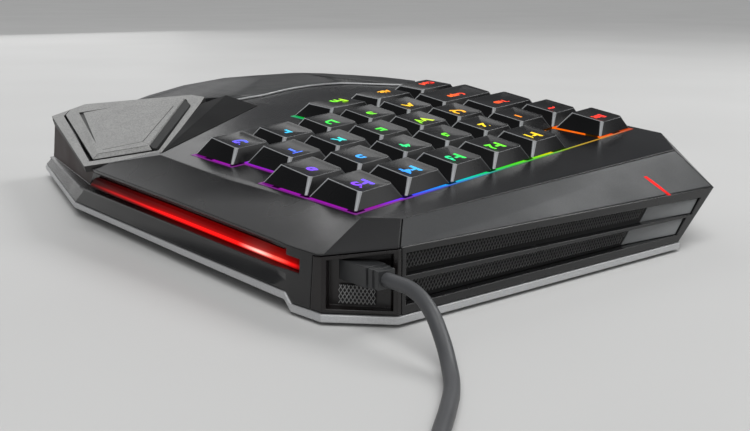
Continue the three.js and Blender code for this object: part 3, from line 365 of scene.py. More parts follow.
# %% Soft and hidden materials
rubber = moulded("thermoplastic_rubber", "#181818", "#202020", 0.72, grain=0.25, depth=0.05)
relief_rubber = moulded("grey_strain_relief", "#2b2c2d", "#353637", 0.45, grain=0.3, depth=0.03,
                        edge=0.3)
cable_skin = moulded("pvc_cable_skin", "#3e3f41", "#4a4b4d", 0.48, grain=0.4, depth=0.02, edge=0.1)
grip_rubber = moulded("grained_grip_rubber", "#161717", "#2b2c2c", 0.75, grain=0.6, depth=0.25)
silicone = moulded("milky_silicone", "#cfcfcf", "#dedede", 0.55, depth=0.02)
film = moulded("printed_film", "#86a9b5", "#98bcc8", 0.35, grain=2.0, depth=0.01)
lacquer = moulded("lacquered_board", "#124a29", "#1b6a3b", 0.3, grain=1.5, depth=0.02, coat=0.4)
cable.data.materials.append(cable_skin)
print("materials so far:", len(bpy.data.materials))

# %% [markdown]
# ## The keys' own directions
# The deck leans two ways and the key field is turned on it. Three unit vectors along a row,
# to the rear and out of the deck make every later step simple, because a cap is straight
# along them.

# %% Directions and extents of the keys
DECK_ROLL, DECK_PITCH, KEY_YAW = (math.radians(a) for a in (3.19, 4.44, 6.36))
KEY_PITCH = 19.05
slope_x, slope_y = math.tan(DECK_ROLL), math.tan(DECK_PITCH)
deck_up = Vector((slope_x, slope_y, 1)).normalized()
row_rise = -slope_x * math.cos(KEY_YAW) - slope_y * math.sin(KEY_YAW)
along_row = Vector((math.cos(KEY_YAW), math.sin(KEY_YAW), row_rise)).normalized()
to_rear = deck_up.cross(along_row)
key_axes = Matrix((along_row, to_rear, deck_up)).transposed()


def key_extent(node):
    """Lowest and highest corner of a node along the keys' own directions."""
    points = [key_axes.transposed() @ v.co for v in nodes[node].data.vertices]
    return (Vector([min(p[i] for p in points) for i in range(3)]),
            Vector([max(p[i] for p in points) for i in range(3)]))


def key_number(name):
    """A cap's row and column, as its node's name gives them."""
    return [int(number) for number in name.removeprefix("keycap_row").split("_")]


cap_names = sorted(n for n in nodes if n.startswith("keycap_"))
extents = {name: key_extent(name) for name in cap_names}
field_left = min(low.x for low, high in extents.values())
field_right = max(high.x for low, high in extents.values())
print("key field in mm:", round((field_right - field_left) / MM, 1))

# %% [markdown]
# ## Light that changes colour along the rows
# Each lamp under the keys has its own hue, so the light runs from red at the rear left to
# violet at the rear right. One ramp over the distance along the key rows does this for the
# lettering, the light seam and the well's floor alike, and they always agree. The seam and the
# well's floor are no lamps, so their glow is painted light. In the well only the faces that
# look up glow, and its walls stay dark.

# %% Rainbow light
SEAM_SHIFT = 16.0 * MM
LIT_RISE = 0.5
RAINBOW = [(0.0, "#ff1020"), (0.08, "#ff2c10"), (0.17, "#ff7000"), (0.36, "#ffd800"),
           (0.46, "#70f000"), (0.62, "#10e03c"), (0.71, "#08d2c8"), (0.79, "#1ca0ff"),
           (0.89, "#4348ff"), (0.96, "#8a2cf0"), (1.0, "#9a12a8")]


def rainbow(name, surface, strength, roughness=0.4, shift=0.0, only_up=False):
    """A lit plastic whose light takes its colour from the place along the rows, plus a shift."""
    material, tree, shader, place = start_material(name)
    along = add(tree, "VectorMath", {0: place, 1: along_row}, operation="DOT_PRODUCT")
    share = add(tree, "MapRange", {"Value": along.outputs["Value"], "From Min": field_left - shift,
                                   "From Max": field_right - shift})
    light = add(tree, "ValToRGB", {"Fac": share.outputs["Result"]}, stops=RAINBOW).outputs["Color"]
    if only_up:
        facing = add(tree, "NewGeometry").outputs["True Normal"]
        rise = add(tree, "SeparateXYZ", {"Vector": facing}).outputs["Z"]
        lit = add(tree, "Math", {0: rise, 1: LIT_RISE}, operation="GREATER_THAN").outputs["Value"]
        masked = add(tree, "VectorMath", {0: light, "Scale": lit}, operation="SCALE")
        light = masked.outputs["Vector"]
    feed(shader, {"Emission Color": light, "Emission Strength": strength,
                  "Base Color": linear(surface), "Roughness": roughness})
    return material


lettering = rainbow("lit_lettering", "#202020", 1.5)
# The seam is no lamp; its glow is painted light.
seam_light = rainbow("painted_light_seam", "#202020", 0.5, shift=SEAM_SHIFT)
# The well's floor is no lamp; its glow is painted light.
well_light = rainbow("lit_well_floor", "#0a0a0a", 1.0, 0.5, shift=SEAM_SHIFT, only_up=True)
print("hues:", len(RAINBOW))

# %% [markdown]
# ## Making pieces
# Every new piece is a mesh in the frame's own metres, built in mm for ease. One helper turns
# the finished mesh into an object, and one hands it to its body and finish.

# %% Helpers for pieces
SMOOTH_ANGLE = 35


def shape_from(name, bm, materials, smooth_angle=SMOOTH_ANGLE):
    """Turns a bmesh in mm into an object in metres, smooth below an angle."""
    bmesh.ops.recalc_face_normals(bm, faces=bm.faces)
    bmesh.ops.scale(bm, vec=(MM, MM, MM), verts=bm.verts)
    sharp = math.radians(smooth_angle)
    for edge in bm.edges:
        edge.smooth = len(edge.link_faces) == 2 and edge.calc_face_angle(0) < sharp
    for face in bm.faces:
        face.smooth = True
    mesh = bpy.data.meshes.new(name)
    bm.to_mesh(mesh)
    bm.free()
    for material in materials:
        mesh.materials.append(material)
    shape = bpy.data.objects.new(name, mesh)
    scene.collection.objects.link(shape)
    return shape


def piece_from(name, bm, materials, body, smooth_angle=SMOOTH_ANGLE):
    """A shown piece that rides on a body."""
    piece = shape_from(name, bm, materials, smooth_angle)
    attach(piece, body)
    return piece


print("smooth below degrees:", SMOOTH_ANGLE)

# %% [markdown]
# ## Lofts and outlines
# A closed loft through rings of points covers caps, strips, strands and bars. The rings come
# from outlines in plan: a box with round corners, or any outline moved inward.

# %% Helpers for lofts


def loft(bm, rings, close_ends=True, material=lambda ring, side: 0):
    """Faces between rings of equally many points, with caps on the first and last ring."""
    loops = [[bm.verts.new(p) for p in ring] for ring in rings]
    count = len(loops[0])
    for k in range(len(loops) - 1):
        for i in range(count):
            j = (i + 1) % count
            face = bm.faces.new((loops[k][i], loops[k][j], loops[k + 1][j], loops[k + 1][i]))
            face.material_index = material(k, i)
    if close_ends:
        bm.faces.new(list(reversed(loops[0])))
        bm.faces.new(loops[-1])
    return loops


def offset_outline(points, distance):
    """A counter-clockwise outline moved inward by a distance."""
    moved = []
    for i, p in enumerate(points):
        before, after = points[i - 1], points[(i + 1) % len(points)]
        a = Vector((before.y - p.y, p.x - before.x)).normalized()
        b = Vector((p.y - after.y, after.x - p.x)).normalized()
        moved.append(p + (a + b) * distance / (1 + a.dot(b)))
    return moved


def rounded_box(width, depth, centre_y, radius, steps):
    """An outline with round corners, counter-clockwise from the right rear corner."""
    points = []
    for quarter, (sx, sy) in enumerate(((1, 1), (-1, 1), (-1, -1), (1, -1))):
        for k in range(steps + 1):
            angle = (quarter + k / steps) * math.pi / 2
            x = sx * (width / 2 - radius) + radius * math.cos(angle)
            y = centre_y + sy * (depth / 2 - radius) + radius * math.sin(angle)
            points.append(Vector((x, y)))
    return points


print("points of a rounded box:", len(rounded_box(20, 10, 0, 2, steps=4)))

# %% [markdown]
# ## The form of a keycap
# A moulded cap is a tapered shell with a hollowed top, so that the finger finds its middle.
# A scaled cube with a bevel would lose the hollow. The top here is a shallow trough that
# follows the finger, and it leans a little, so its front edge is the higher one. The three
# caps nearest the palm are crowned instead.

# %% Size and top of a keycap
CAP_TOP, CAP_FOOT, CAP_HOLLOW, CAP_CROWN, CAP_WALL = 4.9, 0.4, 0.8, 0.85, 1.3
CAP_SIDE_TAPER, CAP_REAR_TAPER, CAP_FRONT_TAPER = 3.0, 1.6, 3.9
TOP_SHIFT = (CAP_FRONT_TAPER - CAP_REAR_TAPER) / 2
CAP_LEAN, LEAN_FROM = 0.09, KEY_PITCH / 3
CROWNED_ROW = "keycap_row5"


def cap_place(name):
    """The cap's size in mm, and the matrix of its centre at the deck's surface, in mm."""
    low, high = extents[name]
    crown = CAP_CROWN if name.startswith(CROWNED_ROW) else 0
    deck = high.z / MM - CAP_TOP - crown
    centre = key_axes @ (Vector(((low.x + high.x) / 2, (low.y + high.y) / 2, deck * MM)) / MM)
    size = (high - low).xy / MM
    return size, Matrix.Translation(centre) @ key_axes.to_4x4()


def cap_surface(name, width):
    """A function that gives the height of the cap's top at a point of its plan."""
    half = width / 2 - CAP_SIDE_TAPER
    crowned = name.startswith(CROWNED_ROW)
    bow, lean = (CAP_CROWN, 0) if crowned else (-CAP_HOLLOW, CAP_LEAN)

    def height(p):
        return CAP_TOP + bow * (1 - min(abs(p.x) / half, 1) ** 2) + lean * (LEAN_FROM - p.y)
    return height


print("first cap in mm:", [round(x, 2) for x in cap_place(cap_names[0])[0]])

# %% [markdown]
# ## The outside of a keycap
# Each cap is a loft from its foot up to a rounded rim and across the hollow. The rim and the
# upright corners take a painted highlight, brighter than the sides and most so on the right,
# where the light catches them.

# %% Rings and edges of a keycap
FOOT_RADIUS, TOP_RADIUS, RIM_RADIUS, CORNER_STEPS, RIM_STEPS = 0.6, 0.9, 0.2, 4, 3
TOP_RING_SHARES = (0.86, 0.68, 0.48, 0.26, 0.08)
SIDE, BRIGHT_HIGHLIGHT, DIM_HIGHLIGHT = range(3)
RIGHT_REAR, RIGHT_FRONT = 0, 3


def cap_rings(width, depth, height):
    """The rings of the cap's outside, from its foot over the rim to the middle of its top."""
    foot = rounded_box(width, depth, 0, FOOT_RADIUS, CORNER_STEPS)
    rings = [[Vector((p.x, p.y, CAP_FOOT)) for p in foot]]
    top_width, top_depth = width - 2 * CAP_SIDE_TAPER, depth - CAP_REAR_TAPER - CAP_FRONT_TAPER
    for k in range(RIM_STEPS + 1):
        turn = k / RIM_STEPS * math.pi / 2
        grow = RIM_RADIUS * (math.cos(turn) * 2 - 1)
        drop = RIM_RADIUS * (1 - math.sin(turn))
        rim = rounded_box(top_width + grow, top_depth + grow, TOP_SHIFT, TOP_RADIUS, CORNER_STEPS)
        rings.append([Vector((p.x, p.y, height(p) - drop)) for p in rim])
    flat = rounded_box(top_width - RIM_RADIUS, top_depth - RIM_RADIUS, TOP_SHIFT, TOP_RADIUS,
                       CORNER_STEPS)
    for share in TOP_RING_SHARES:
        ring = [Vector((p.x * share, TOP_SHIFT + (p.y - TOP_SHIFT) * share)) for p in flat]
        rings.append([Vector((p.x, p.y, height(p))) for p in ring])
    return rings


def cap_highlight(ring, side):
    """The material of a face of the outside: the rim and the upright corners take painted
    highlights.
    """
    corner, step = divmod(side, CORNER_STEPS + 1)
    on_corner = step < CORNER_STEPS
    if not (1 <= ring <= RIM_STEPS or (ring == 0 and on_corner)):
        return SIDE
    on_right = corner == RIGHT_FRONT or (corner == RIGHT_REAR and on_corner)
    return BRIGHT_HIGHLIGHT if on_right else DIM_HIGHLIGHT


first_size = cap_place(cap_names[0])[0]
print("rings of a cap:", len(cap_rings(*first_size, cap_surface(cap_names[0], first_size.x))))

# %% [markdown]
# ## The inside of a keycap
# A cap is open below, with thin walls and a ceiling. A Solidify modifier would thicken the
# rim as well, so the inside is a loft of its own that is joined to the outside at the foot.

# %% Inside of a keycap
CEILING = CAP_TOP - CAP_HOLLOW - CAP_WALL


def cap_inside(bm, width, depth):
    """The inner walls and ceiling of a cap."""
    top_width, top_depth = width - 2 * CAP_SIDE_TAPER, depth - CAP_REAR_TAPER - CAP_FRONT_TAPER
    foot = rounded_box(width - 2 * CAP_WALL, depth - 2 * CAP_WALL, 0, FOOT_RADIUS / 2, CORNER_STEPS)
    top = rounded_box(top_width - CAP_WALL, top_depth - CAP_WALL, TOP_SHIFT, FOOT_RADIUS / 2,
                      CORNER_STEPS)
    inner = loft(bm, [[Vector((p.x, p.y, CAP_FOOT)) for p in foot],
                      [Vector((p.x, p.y, CEILING)) for p in top]], close_ends=False)
    bm.faces.new(inner[-1])
    return inner


print("ceiling over the deck in mm:", round(CEILING, 2))

# %% [markdown]
# ## Making the keycaps
# The outside, the inside and a round stem that presses the dome below make one closed mesh.
# It is built level at the origin, and the cap's matrix then sets it on the leaning deck.

# %% Keycaps
STEM_RADIUS, STEM_SIDES, STEM_OVERLAP = 2.2, 16, 0.2


def make_cap(name):
    """One keycap as a closed shell with its stem."""
    (width, depth), place = cap_place(name)
    bm = bmesh.new()
    outer = loft(bm, cap_rings(width, depth, cap_surface(name, width)), close_ends=False,
                 material=cap_highlight)
    bm.faces.new(outer[-1])
    inner = cap_inside(bm, width, depth)
    for i, vert in enumerate(outer[0]):
        j = (i + 1) % len(outer[0])
        bm.faces.new((vert, outer[0][j], inner[0][j], inner[0][i]))
    low, high = extents[name]
    stem_foot = low.z / MM - high.z / MM + CAP_TOP
    turns = [i * 2 * math.pi / STEM_SIDES for i in range(STEM_SIDES)]
    loft(bm, [[Vector((STEM_RADIUS * math.cos(a), STEM_RADIUS * math.sin(a), z)) for a in turns]
              for z in (stem_foot, CEILING + STEM_OVERLAP)])
    bmesh.ops.transform(bm, matrix=place, verts=bm.verts)
    row, column = key_number(name)
    cap = piece_from(f"cap_{row}_{column}", bm, [cap_abs, cap_highlight_abs, cap_dim_highlight_abs],
                     f"key_{row}_{column}")
    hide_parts(name)


for name in cap_names:
    make_cap(name)
print("caps:", len(cap_names))

# %% [markdown]
# ## Letters as meshes
# Clear letters are moulded through a black cap, so that light from below fills them. A text
# object gives the shapes, and its mesh is taken so that its points can be moved one by one.
# Only letters, digits and a tilde are used.

# %% Letter meshes
LETTER_SIZE, WORD_SIZE, LETTER_BOLD, WORD_FROM = 6.2, 4.2, 0.2, 3
legends = {
    1: ["Esc", "F1", "F2", "F3", "F4", "F5"],
    2: ["~", "1", "2", "3", "4", "5", "6"],
    3: ["Tab", "Q", "W", "E", "R", "T"],
    4: ["Caps", "A", "S", "D", "F", "G"],
    5: ["Ctrl", "Alt", "Fn"],
}


def letter_mesh(text):
    """The flat letters of a text as a bmesh in mm."""
    words = bpy.data.curves.new("letters", "FONT")
    words.body = text
    words.size = LETTER_SIZE if len(text) < WORD_FROM else WORD_SIZE
    words.align_x = "CENTER"
    words.align_y = "CENTER"
    words.offset = LETTER_BOLD
    words.resolution_u = 4
    holder = bpy.data.objects.new("letters", words)
    mesh = bpy.data.meshes.new_from_object(holder)
    bpy.data.objects.remove(holder)
    bm = bmesh.new()
    bm.from_mesh(mesh)
    bpy.data.meshes.remove(mesh)
    return bm


print("legends:", sum(len(row) for row in legends.values()))

# %% [markdown]
# ## Lettering on the caps
# Each point of a letter is laid on the hollow top, a hair above it, so the letters bend with
# the cap as the moulded ones do. A flat letter would sink into the rim.

# %% Lettering
LETTER_LIFT, LETTER_SHIFT = 0.04, 0.8
for name in cap_names:
    row, column = key_number(name)
    (width, depth), place = cap_place(name)
    height = cap_surface(name, width)
    bm = letter_mesh(legends[row][column - 1])
    for vert in bm.verts:
        vert.co.y += TOP_SHIFT + LETTER_SHIFT
        vert.co.z = height(vert.co) + LETTER_LIFT
    bmesh.ops.transform(bm, matrix=place, verts=bm.verts)
    piece_from(f"legend_{row}_{column}", bm, [lettering], f"key_{row}_{column}")
print("lettered caps:", len(cap_names))

# %% [markdown]
# ## The outline of the key field
# The five rows are of unequal width, so the field has steps on its right side. The outline
# is taken from the caps themselves, and a step is drawn only where two rows really differ.

# %% Outline of the key field
ROW_MARGIN, LEAST_STEP = 0.5, 0.1


def row_extent(row):
    """Left, right, front and rear of one row of caps, in mm along the keys' directions."""
    ends = [extents[n] for n in cap_names if n.startswith(f"keycap_row{row}")]
    middle = sum(low.y + high.y for low, high in ends) / len(ends) / 2 / MM
    return (min(low.x for low, high in ends) / MM - ROW_MARGIN,
            max(high.x for low, high in ends) / MM + ROW_MARGIN,
            middle - KEY_PITCH / 2, middle + KEY_PITCH / 2)


rows = [row_extent(r) for r in range(1, 6)]
outline = [Vector((rows[0][1], rows[0][3])), Vector((rows[0][0], rows[0][3])),
           Vector((rows[4][0], rows[4][2])), Vector((rows[4][1], rows[4][2]))]
for upper, lower in ((rows[k - 1], rows[k]) for k in (4, 3, 2, 1)):
    if abs(upper[1] - lower[1]) > LEAST_STEP:
        outline += [Vector((lower[1], upper[2])), Vector((upper[1], upper[2]))]
print("corners of the field:", len(outline))

# %% [markdown]
# ## The light seam round the keys
# Light escapes between the keys and the deck as a thin coloured line. It needs a surface,
# so a narrow glowing strip follows the stepped outline of the key field as painted light.

# %% Light seam
SEAM_OUT, SEAM_IN, SEAM_LOW, SEAM_HIGH, SEAM_WELD = 0.5, -0.15, -1.6, 0.08, 0.01
deck_level = cap_place("keycap_row1_1")[1].translation
deck_height = (key_axes.transposed() @ deck_level).z


def seam_ring(distance, level):
    """The field's outline moved outward by a distance, at a level above the deck."""
    return [key_axes @ Vector((p.x, p.y, deck_height + level))
            for p in offset_outline(outline, -distance)]


bm = bmesh.new()
section = [(SEAM_OUT, SEAM_LOW), (SEAM_OUT, SEAM_HIGH), (SEAM_IN, SEAM_HIGH), (SEAM_IN, SEAM_LOW),
           (SEAM_OUT, SEAM_LOW)]
loft(bm, [seam_ring(*corner) for corner in section], close_ends=False)
bmesh.ops.remove_doubles(bm, verts=bm.verts, dist=SEAM_WELD)
seam = piece_from("light_seam", bm, [seam_light], "housing")
print("seam faces:", len(seam.data.polygons))

# %% [markdown]
# ## Finishes of the construction's own pieces
# Rigid pieces whose shape is already right keep their mesh and only take a finish.

# %% Finishes of carried pieces


def finish(name, material):
    """Gives a carried piece its material, in the slot that its object has."""
    nodes[name].material_slots[0].material = material


finishes = {
    base_abs: ["bottom_shell"], band_paint: ["base_band"], block_abs: ["cable_bay"],
    facet_abs: ["thumb_facet"], well_light: ["key_frame"], silicone: ["thumb_dome", "dome_sheet"],
    film: ["membrane_circuit"], steel_plate: ["backing_plate"], lacquer: ["controller_board"],
    rubber: ["cable_tie", "plug_body", "foot_1", "foot_2", "foot_3", "foot_4"],
    shell_metal: ["plug_shell"],
}
for material, names in finishes.items():
    for name in names:
        finish(name, material)
print("finished:", sum(len(names) for names in finishes.values()))

# %% [markdown]
# ## Smooth copies of the large shells
# The mould's broad faces are slightly twisted, and a mesh can only show that as two flat
# triangles with a crease. A copy whose doubled points are welded can be shaded smoothly
# across such weak creases and stay sharp at real edges, which is what the real faces show.

# %% Smooth copies
WELD_DISTANCE = 1e-6


def smooth_copy(name, material, body, sharp_angle):
    """A welded copy of a carried piece, smooth below an angle, that stands for it."""
    bm = bmesh.new()
    bm.from_mesh(nodes[name].data)
    bmesh.ops.remove_doubles(bm, verts=bm.verts, dist=WELD_DISTANCE)
    bmesh.ops.scale(bm, vec=(1 / MM, 1 / MM, 1 / MM), verts=bm.verts)
    for face in bm.faces:
        face.material_index = 0
    # Normals that came with the corners would overrule the new shading
    for layer in list(bm.loops.layers.float_vector):
        bm.loops.layers.float_vector.remove(layer)
    piece = piece_from(name + "_shown", bm, [material], body, sharp_angle)
    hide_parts(name)
    return piece


cover = smooth_copy("top_cover", case_abs, "housing", sharp_angle=17)
palm = smooth_copy("palm_rest", palm_abs, "housing", sharp_angle=40)
smooth_copy("strain_relief", relief_rubber, "housing", sharp_angle=20)
print("cover faces:", len(cover.data.polygons), "palm faces:", len(palm.data.polygons))

# %% [markdown]
# ## The step along the side
# On the real case the step under the light bar falls further towards the front corner than
# on the carried cover. The copy's few points there are moved down towards the sill.

# %% Lowered step
CORNER_X, CORNER_Y, STEP_LOW, STEP_HIGH, SILL, FALL = 55, -114.5, 10, 16, 5.65, 0.36
lowered = 0
for vert in cover.data.vertices:
    x, y, z = vert.co / MM
    if x > CORNER_X and y < CORNER_Y and STEP_LOW < z < STEP_HIGH:
        vert.co.z = (SILL + (z - SILL) * FALL) * MM
        lowered += 1
cover.data.update()
print("lowered points:", lowered)

# %% [markdown]
# ## Etched facets of the cover
# Two facets are duller than the satin deck. The one under the thumb frame has a painted red
# cast, a reflection of the light bar beside it. The cut corner over the cable is etched, and a
# real crease parts it from the side, so the edges between two finishes are made sharp.

# %% Facets of the cover
FACET_REAR, FACET_LOW, FACET_HIGH = -20 * MM, 11.5 * MM, 34 * MM
FACET_RIGHTWARD, FACET_REARWARD = 0.5, 0.2
CORNER_SIDE, CORNER_REAR, LEVEL_ENOUGH = 60 * MM, 103 * MM, 0.9
SIDE_FACET, CUT_CORNER = 1, 2
cover.data.materials.append(side_red_reflection_abs)
cover.data.materials.append(corner_abs)
bm = bmesh.new()
bm.from_mesh(cover.data)
for face in bm.faces:
    centre, facing = face.calc_center_median(), face.normal
    beside = centre.y < FACET_REAR and FACET_LOW < centre.z < FACET_HIGH
    if beside and facing.x > FACET_RIGHTWARD and facing.y < FACET_REARWARD:
        face.material_index = SIDE_FACET
    if centre.x > CORNER_SIDE and centre.y > CORNER_REAR and facing.z > LEVEL_ENOUGH:
        face.material_index = CUT_CORNER
for edge in bm.edges:
    if len({face.material_index for face in edge.link_faces}) > 1:
        edge.smooth = False
bm.to_mesh(cover.data)
bm.free()
facet_faces = [face.material_index for face in cover.data.polygons]
print("facet faces:", facet_faces.count(SIDE_FACET), facet_faces.count(CUT_CORNER))

# %% [markdown]
# ## How the palm's edge slides
# Seen in the photograph's view, the real edge of the palm rest lies a few millimetres
# further over the deck than the carried one. The rim and the edge of the palm's copy slide
# along the deck together: most at the middle, and not at all at the right end.

# %% Slide over the deck
SLIDE_WAY = Vector((0.58, 0.815))
SLIDE_LEAST, SLIDE_MORE, SLIDE_MIDDLE, SLIDE_HALF = 6.0, 5.5, -9.0, 22.0
SLIDE_END, SLIDE_TAPER, SLIDE_REACH = 16.0, 6.0, 13.0


def slide_at(x):
    """How far the edge slides over the deck at a place along X, in mm."""
    bulge = math.cos(min(abs(x - SLIDE_MIDDLE) / SLIDE_HALF, 1) * math.pi / 2) ** 2
    return (SLIDE_LEAST + SLIDE_MORE * bulge) * max(min((SLIDE_END - x) / SLIDE_TAPER, 1), 0)


def slid(p, share=1.0):
    """A point slid along the deck by a share of the full way."""
    step = SLIDE_WAY * slide_at(p.x) * share
    return p + Vector((step.x, step.y, -slope_x * step.x - slope_y * step.y))


print("slide in mm:", {x: round(slide_at(x), 1) for x in (-40, -9, 8, 16)})

# %% [markdown]
# ## The bright rim before the palm rest
# A thin plated strip follows the palm rest's near edge. Its line is taken from the carried
# rim, whose points come in pairs across it, and only its width and height are finer. A flat
# ribbon would lose the highlight, so the strip's upper side is chamfered.

# %% Palm rim
RIM_WIDTH, RIM_RISE, RIM_SINK = 0.7, 0.75, 0.3
RIM_SHOULDER, RIM_CHAMFER, RIM_SHARP = 0.6, 0.4, 50

rim_low = {}
for vert in nodes["palm_rim"].data.vertices:
    x, y, z = vert.co / MM
    key = (round(x, 2), round(y, 2))
    rim_low[key] = min(z, rim_low.get(key, z))
rim_line = sorted(rim_low)
rings, widths, edge_line = [], [], []
for pair in zip(rim_line[::2], rim_line[1::2]):
    palm_side, deck_side = (Vector((*p, rim_low[p])) for p in sorted(pair, key=lambda p: p[1]))
    widths.append((deck_side - palm_side).length)
    edge_line.append(palm_side.xy)
    palm_side.z -= RIM_SINK
    edge = slid(palm_side + (deck_side - palm_side).normalized() * RIM_WIDTH)
    palm_side = slid(palm_side)
    lift = Vector((0, 0, RIM_RISE))
    rings.append([palm_side, edge, edge + lift * RIM_SHOULDER,
                  edge.lerp(palm_side, RIM_CHAMFER) + lift, palm_side + lift])
bm = bmesh.new()
loft(bm, rings)
palm_strip = piece_from("palm_strip", bm, [rim_paint], "housing", RIM_SHARP)
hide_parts("palm_rim")
print("rim stations:", len(rings), "carried widths:", round(min(widths), 2), round(max(widths), 2))

# %% [markdown]
# ## The palm's edge
# The palm's copy follows its rim. Points on the rim's line slide the full way, points
# further off slide less, and a smooth falloff leaves no crease where the slide ends.

# %% Palm edge


def away_from_edge(p):
    """Distance in plan from the rim's line, in mm."""
    gaps = []
    for a, b in zip(edge_line, edge_line[1:]):
        share = max(min((p - a).dot(b - a) / (b - a).length_squared, 1), 0)
        gaps.append((p - a.lerp(b, share)).length)
    return min(gaps)


farthest = 0
for vert in palm.data.vertices:
    p = vert.co / MM
    near = max(1 - away_from_edge(p.xy) / SLIDE_REACH, 0)
    moved = slid(p, near * near * (3 - 2 * near))
    farthest = max(farthest, (moved - p).length)
    vert.co = moved * MM
palm.data.update()
print("palm's edge moved by up to", round(farthest, 1), "mm")

# %% [markdown]
# ## The plate on the rear slope
# This painted plate is twisted: nearly flat beside the cable, and steep at the far end. Two
# triangles would show a hard fold, so the plate is a fine grid between its four edges, with
# only a share of the fold kept, so that it stays above the cover under it.

# %% Rear slope plate
plate_top = [Vector((53.12, 106.83, 22.33)), Vector((-59.8, 108.1, 28.3))]
plate_foot = [Vector((65.23, 120.2, 19.87)), Vector((-62.69, 120.2, 18.49))]
PLATE_STEPS, PLATE_DEPTH, FOLD_KEPT, PLATE_SHARP = 24, 1.2, 0.16, 40


def plate_point(u, v, lift=0.0):
    """A point of the plate at shares of its length and of its way down."""
    flat = plate_top[0].lerp(plate_top[1], u).lerp(plate_foot[0].lerp(plate_foot[1], u), v)
    if u + v <= 1:
        folded = plate_top[0] + (plate_top[1] - plate_top[0]) * u
        folded += (plate_foot[0] - plate_top[0]) * v
    else:
        folded = plate_foot[1] + (plate_foot[0] - plate_foot[1]) * (1 - u)
        folded += (plate_top[1] - plate_foot[1]) * (1 - v)
    return Vector((flat.x, flat.y, flat.z + FOLD_KEPT * (folded.z - flat.z) + lift))


bm = bmesh.new()
top, low = ([[bm.verts.new(plate_point(i / PLATE_STEPS, j / PLATE_STEPS, lift))
              for j in range(PLATE_STEPS + 1)] for i in range(PLATE_STEPS + 1)]
            for lift in (0, -PLATE_DEPTH))
for grid in (top, low):
    for i in range(PLATE_STEPS):
        for j in range(PLATE_STEPS):
            bm.faces.new((grid[i][j], grid[i + 1][j], grid[i + 1][j + 1], grid[i][j + 1]))
border = [(i, 0) for i in range(PLATE_STEPS)] + [(PLATE_STEPS, j) for j in range(PLATE_STEPS)]
border += [(PLATE_STEPS - i, PLATE_STEPS - j) for i, j in border]
for (a, b), (c, d) in zip(border, border[1:] + border[:1]):
    bm.faces.new((top[a][b], top[c][d], low[c][d], low[a][b]))
slope_plate = piece_from("rear_slope_plate", bm, [slope_paint], "housing", PLATE_SHARP)
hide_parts("rear_plate")
print("plate faces:", len(slope_plate.data.polygons))

# %% [markdown]
# ## Strands of a wire mesh
# The slots and the recess are closed by a fine expanded-metal mesh. An image of a mesh would
# be flat, and real strands catch the light on one side. Each strand is a thin prism, and the
# two directions lie one behind the other. A dark sheet behind them closes the view, as painted
# shade for the dark inside of the case.

# %% Helpers for meshes
SLANT, STRAND_PROUD, SHORTEST = 0.55, 0.06, 2
SHADE_SHEET = 1


def strands(bm, corners, outward, pitch, width):
    """Two layers of slanted strands that fill a four-sided plane, cut at its edges."""
    origin = corners[0]
    across = (corners[1] - corners[0]).normalized()
    rise = outward.cross(across).normalized()
    flat = [Vector(((c - origin).dot(across), (c - origin).dot(rise))) for c in corners]
    for layer, lean in enumerate((SLANT, -SLANT)):
        direction = Vector((math.sin(lean), math.cos(lean)))
        normal = Vector((direction.y, -direction.x))
        reach = [p.dot(normal) for p in flat]
        for k in range(int(min(reach) / pitch), int(max(reach) / pitch) + 1):
            crossing = []
            for a, b in zip(flat, flat[1:] + flat[:1]):
                da, db = a.dot(normal) - k * pitch, b.dot(normal) - k * pitch
                if (da < 0) != (db < 0):
                    crossing.append(a.lerp(b, da / (da - db)))
            if len(crossing) != 2 or (crossing[0] - crossing[1]).length < SHORTEST * width:
                continue
            ends = []
            for p in crossing:
                middle = origin + across * p.x + rise * p.y - outward * layer * width
                side = (across * normal.x + rise * normal.y) * width / 2
                ends.append([middle - side, middle - outward * width, middle + side,
                             middle + outward * STRAND_PROUD])
            loft(bm, ends)


def shade_sheet_behind(bm, corners, outward, gap, depth):
    """A thin closed plate behind a mesh, in the piece's second material, as painted shade."""
    faces_before = len(bm.faces)
    loft(bm, [[c - outward * (gap + back) for c in corners] for back in (0, depth)])
    bm.faces.ensure_lookup_table()
    for face in bm.faces[faces_before:]:
        face.material_index = SHADE_SHEET


print("strand slant in degrees:", round(math.degrees(SLANT), 1))

# %% [markdown]
# ## The mesh in the rear slots
# Two long slots run along the rear wall, with one sheet of blackened mesh behind each. The
# real pitch of about 0.85 mm is drawn a little coarser, so that it shows.

# %% Rear slot mesh
MESH_FRONT, SLOT_PITCH, SLOT_STRAND = 118.1, 0.95, 0.22
rear_out = Vector((0, 1, 0))


def on_rear(points):
    """Points of the mesh's plane, given by their place along the wall and their height."""
    return [Vector((x, MESH_FRONT, z)) for x, z in points]


bm = bmesh.new()
for slot_corners in ([(64.0, 17.1), (-32.9, 15.3), (-28.5, 12.4), (64.0, 13.5)],
                     [(64.0, 10.4), (-25.2, 9.6), (-20.9, 6.2), (64.0, 6.4)]):
    strands(bm, on_rear(slot_corners), rear_out, SLOT_PITCH, SLOT_STRAND)
backing = on_rear([(64.3, 17.3), (-56.3, 15.4), (-46.5, 5.1), (64.3, 5.1)])
shade_sheet_behind(bm, backing, rear_out, gap=0.6, depth=0.2)
rear_mesh = piece_from("rear_slot_mesh", bm, [slot_wire, base_abs], "housing")
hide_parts("rear_grille")
print("strand faces:", len(rear_mesh.data.polygons))
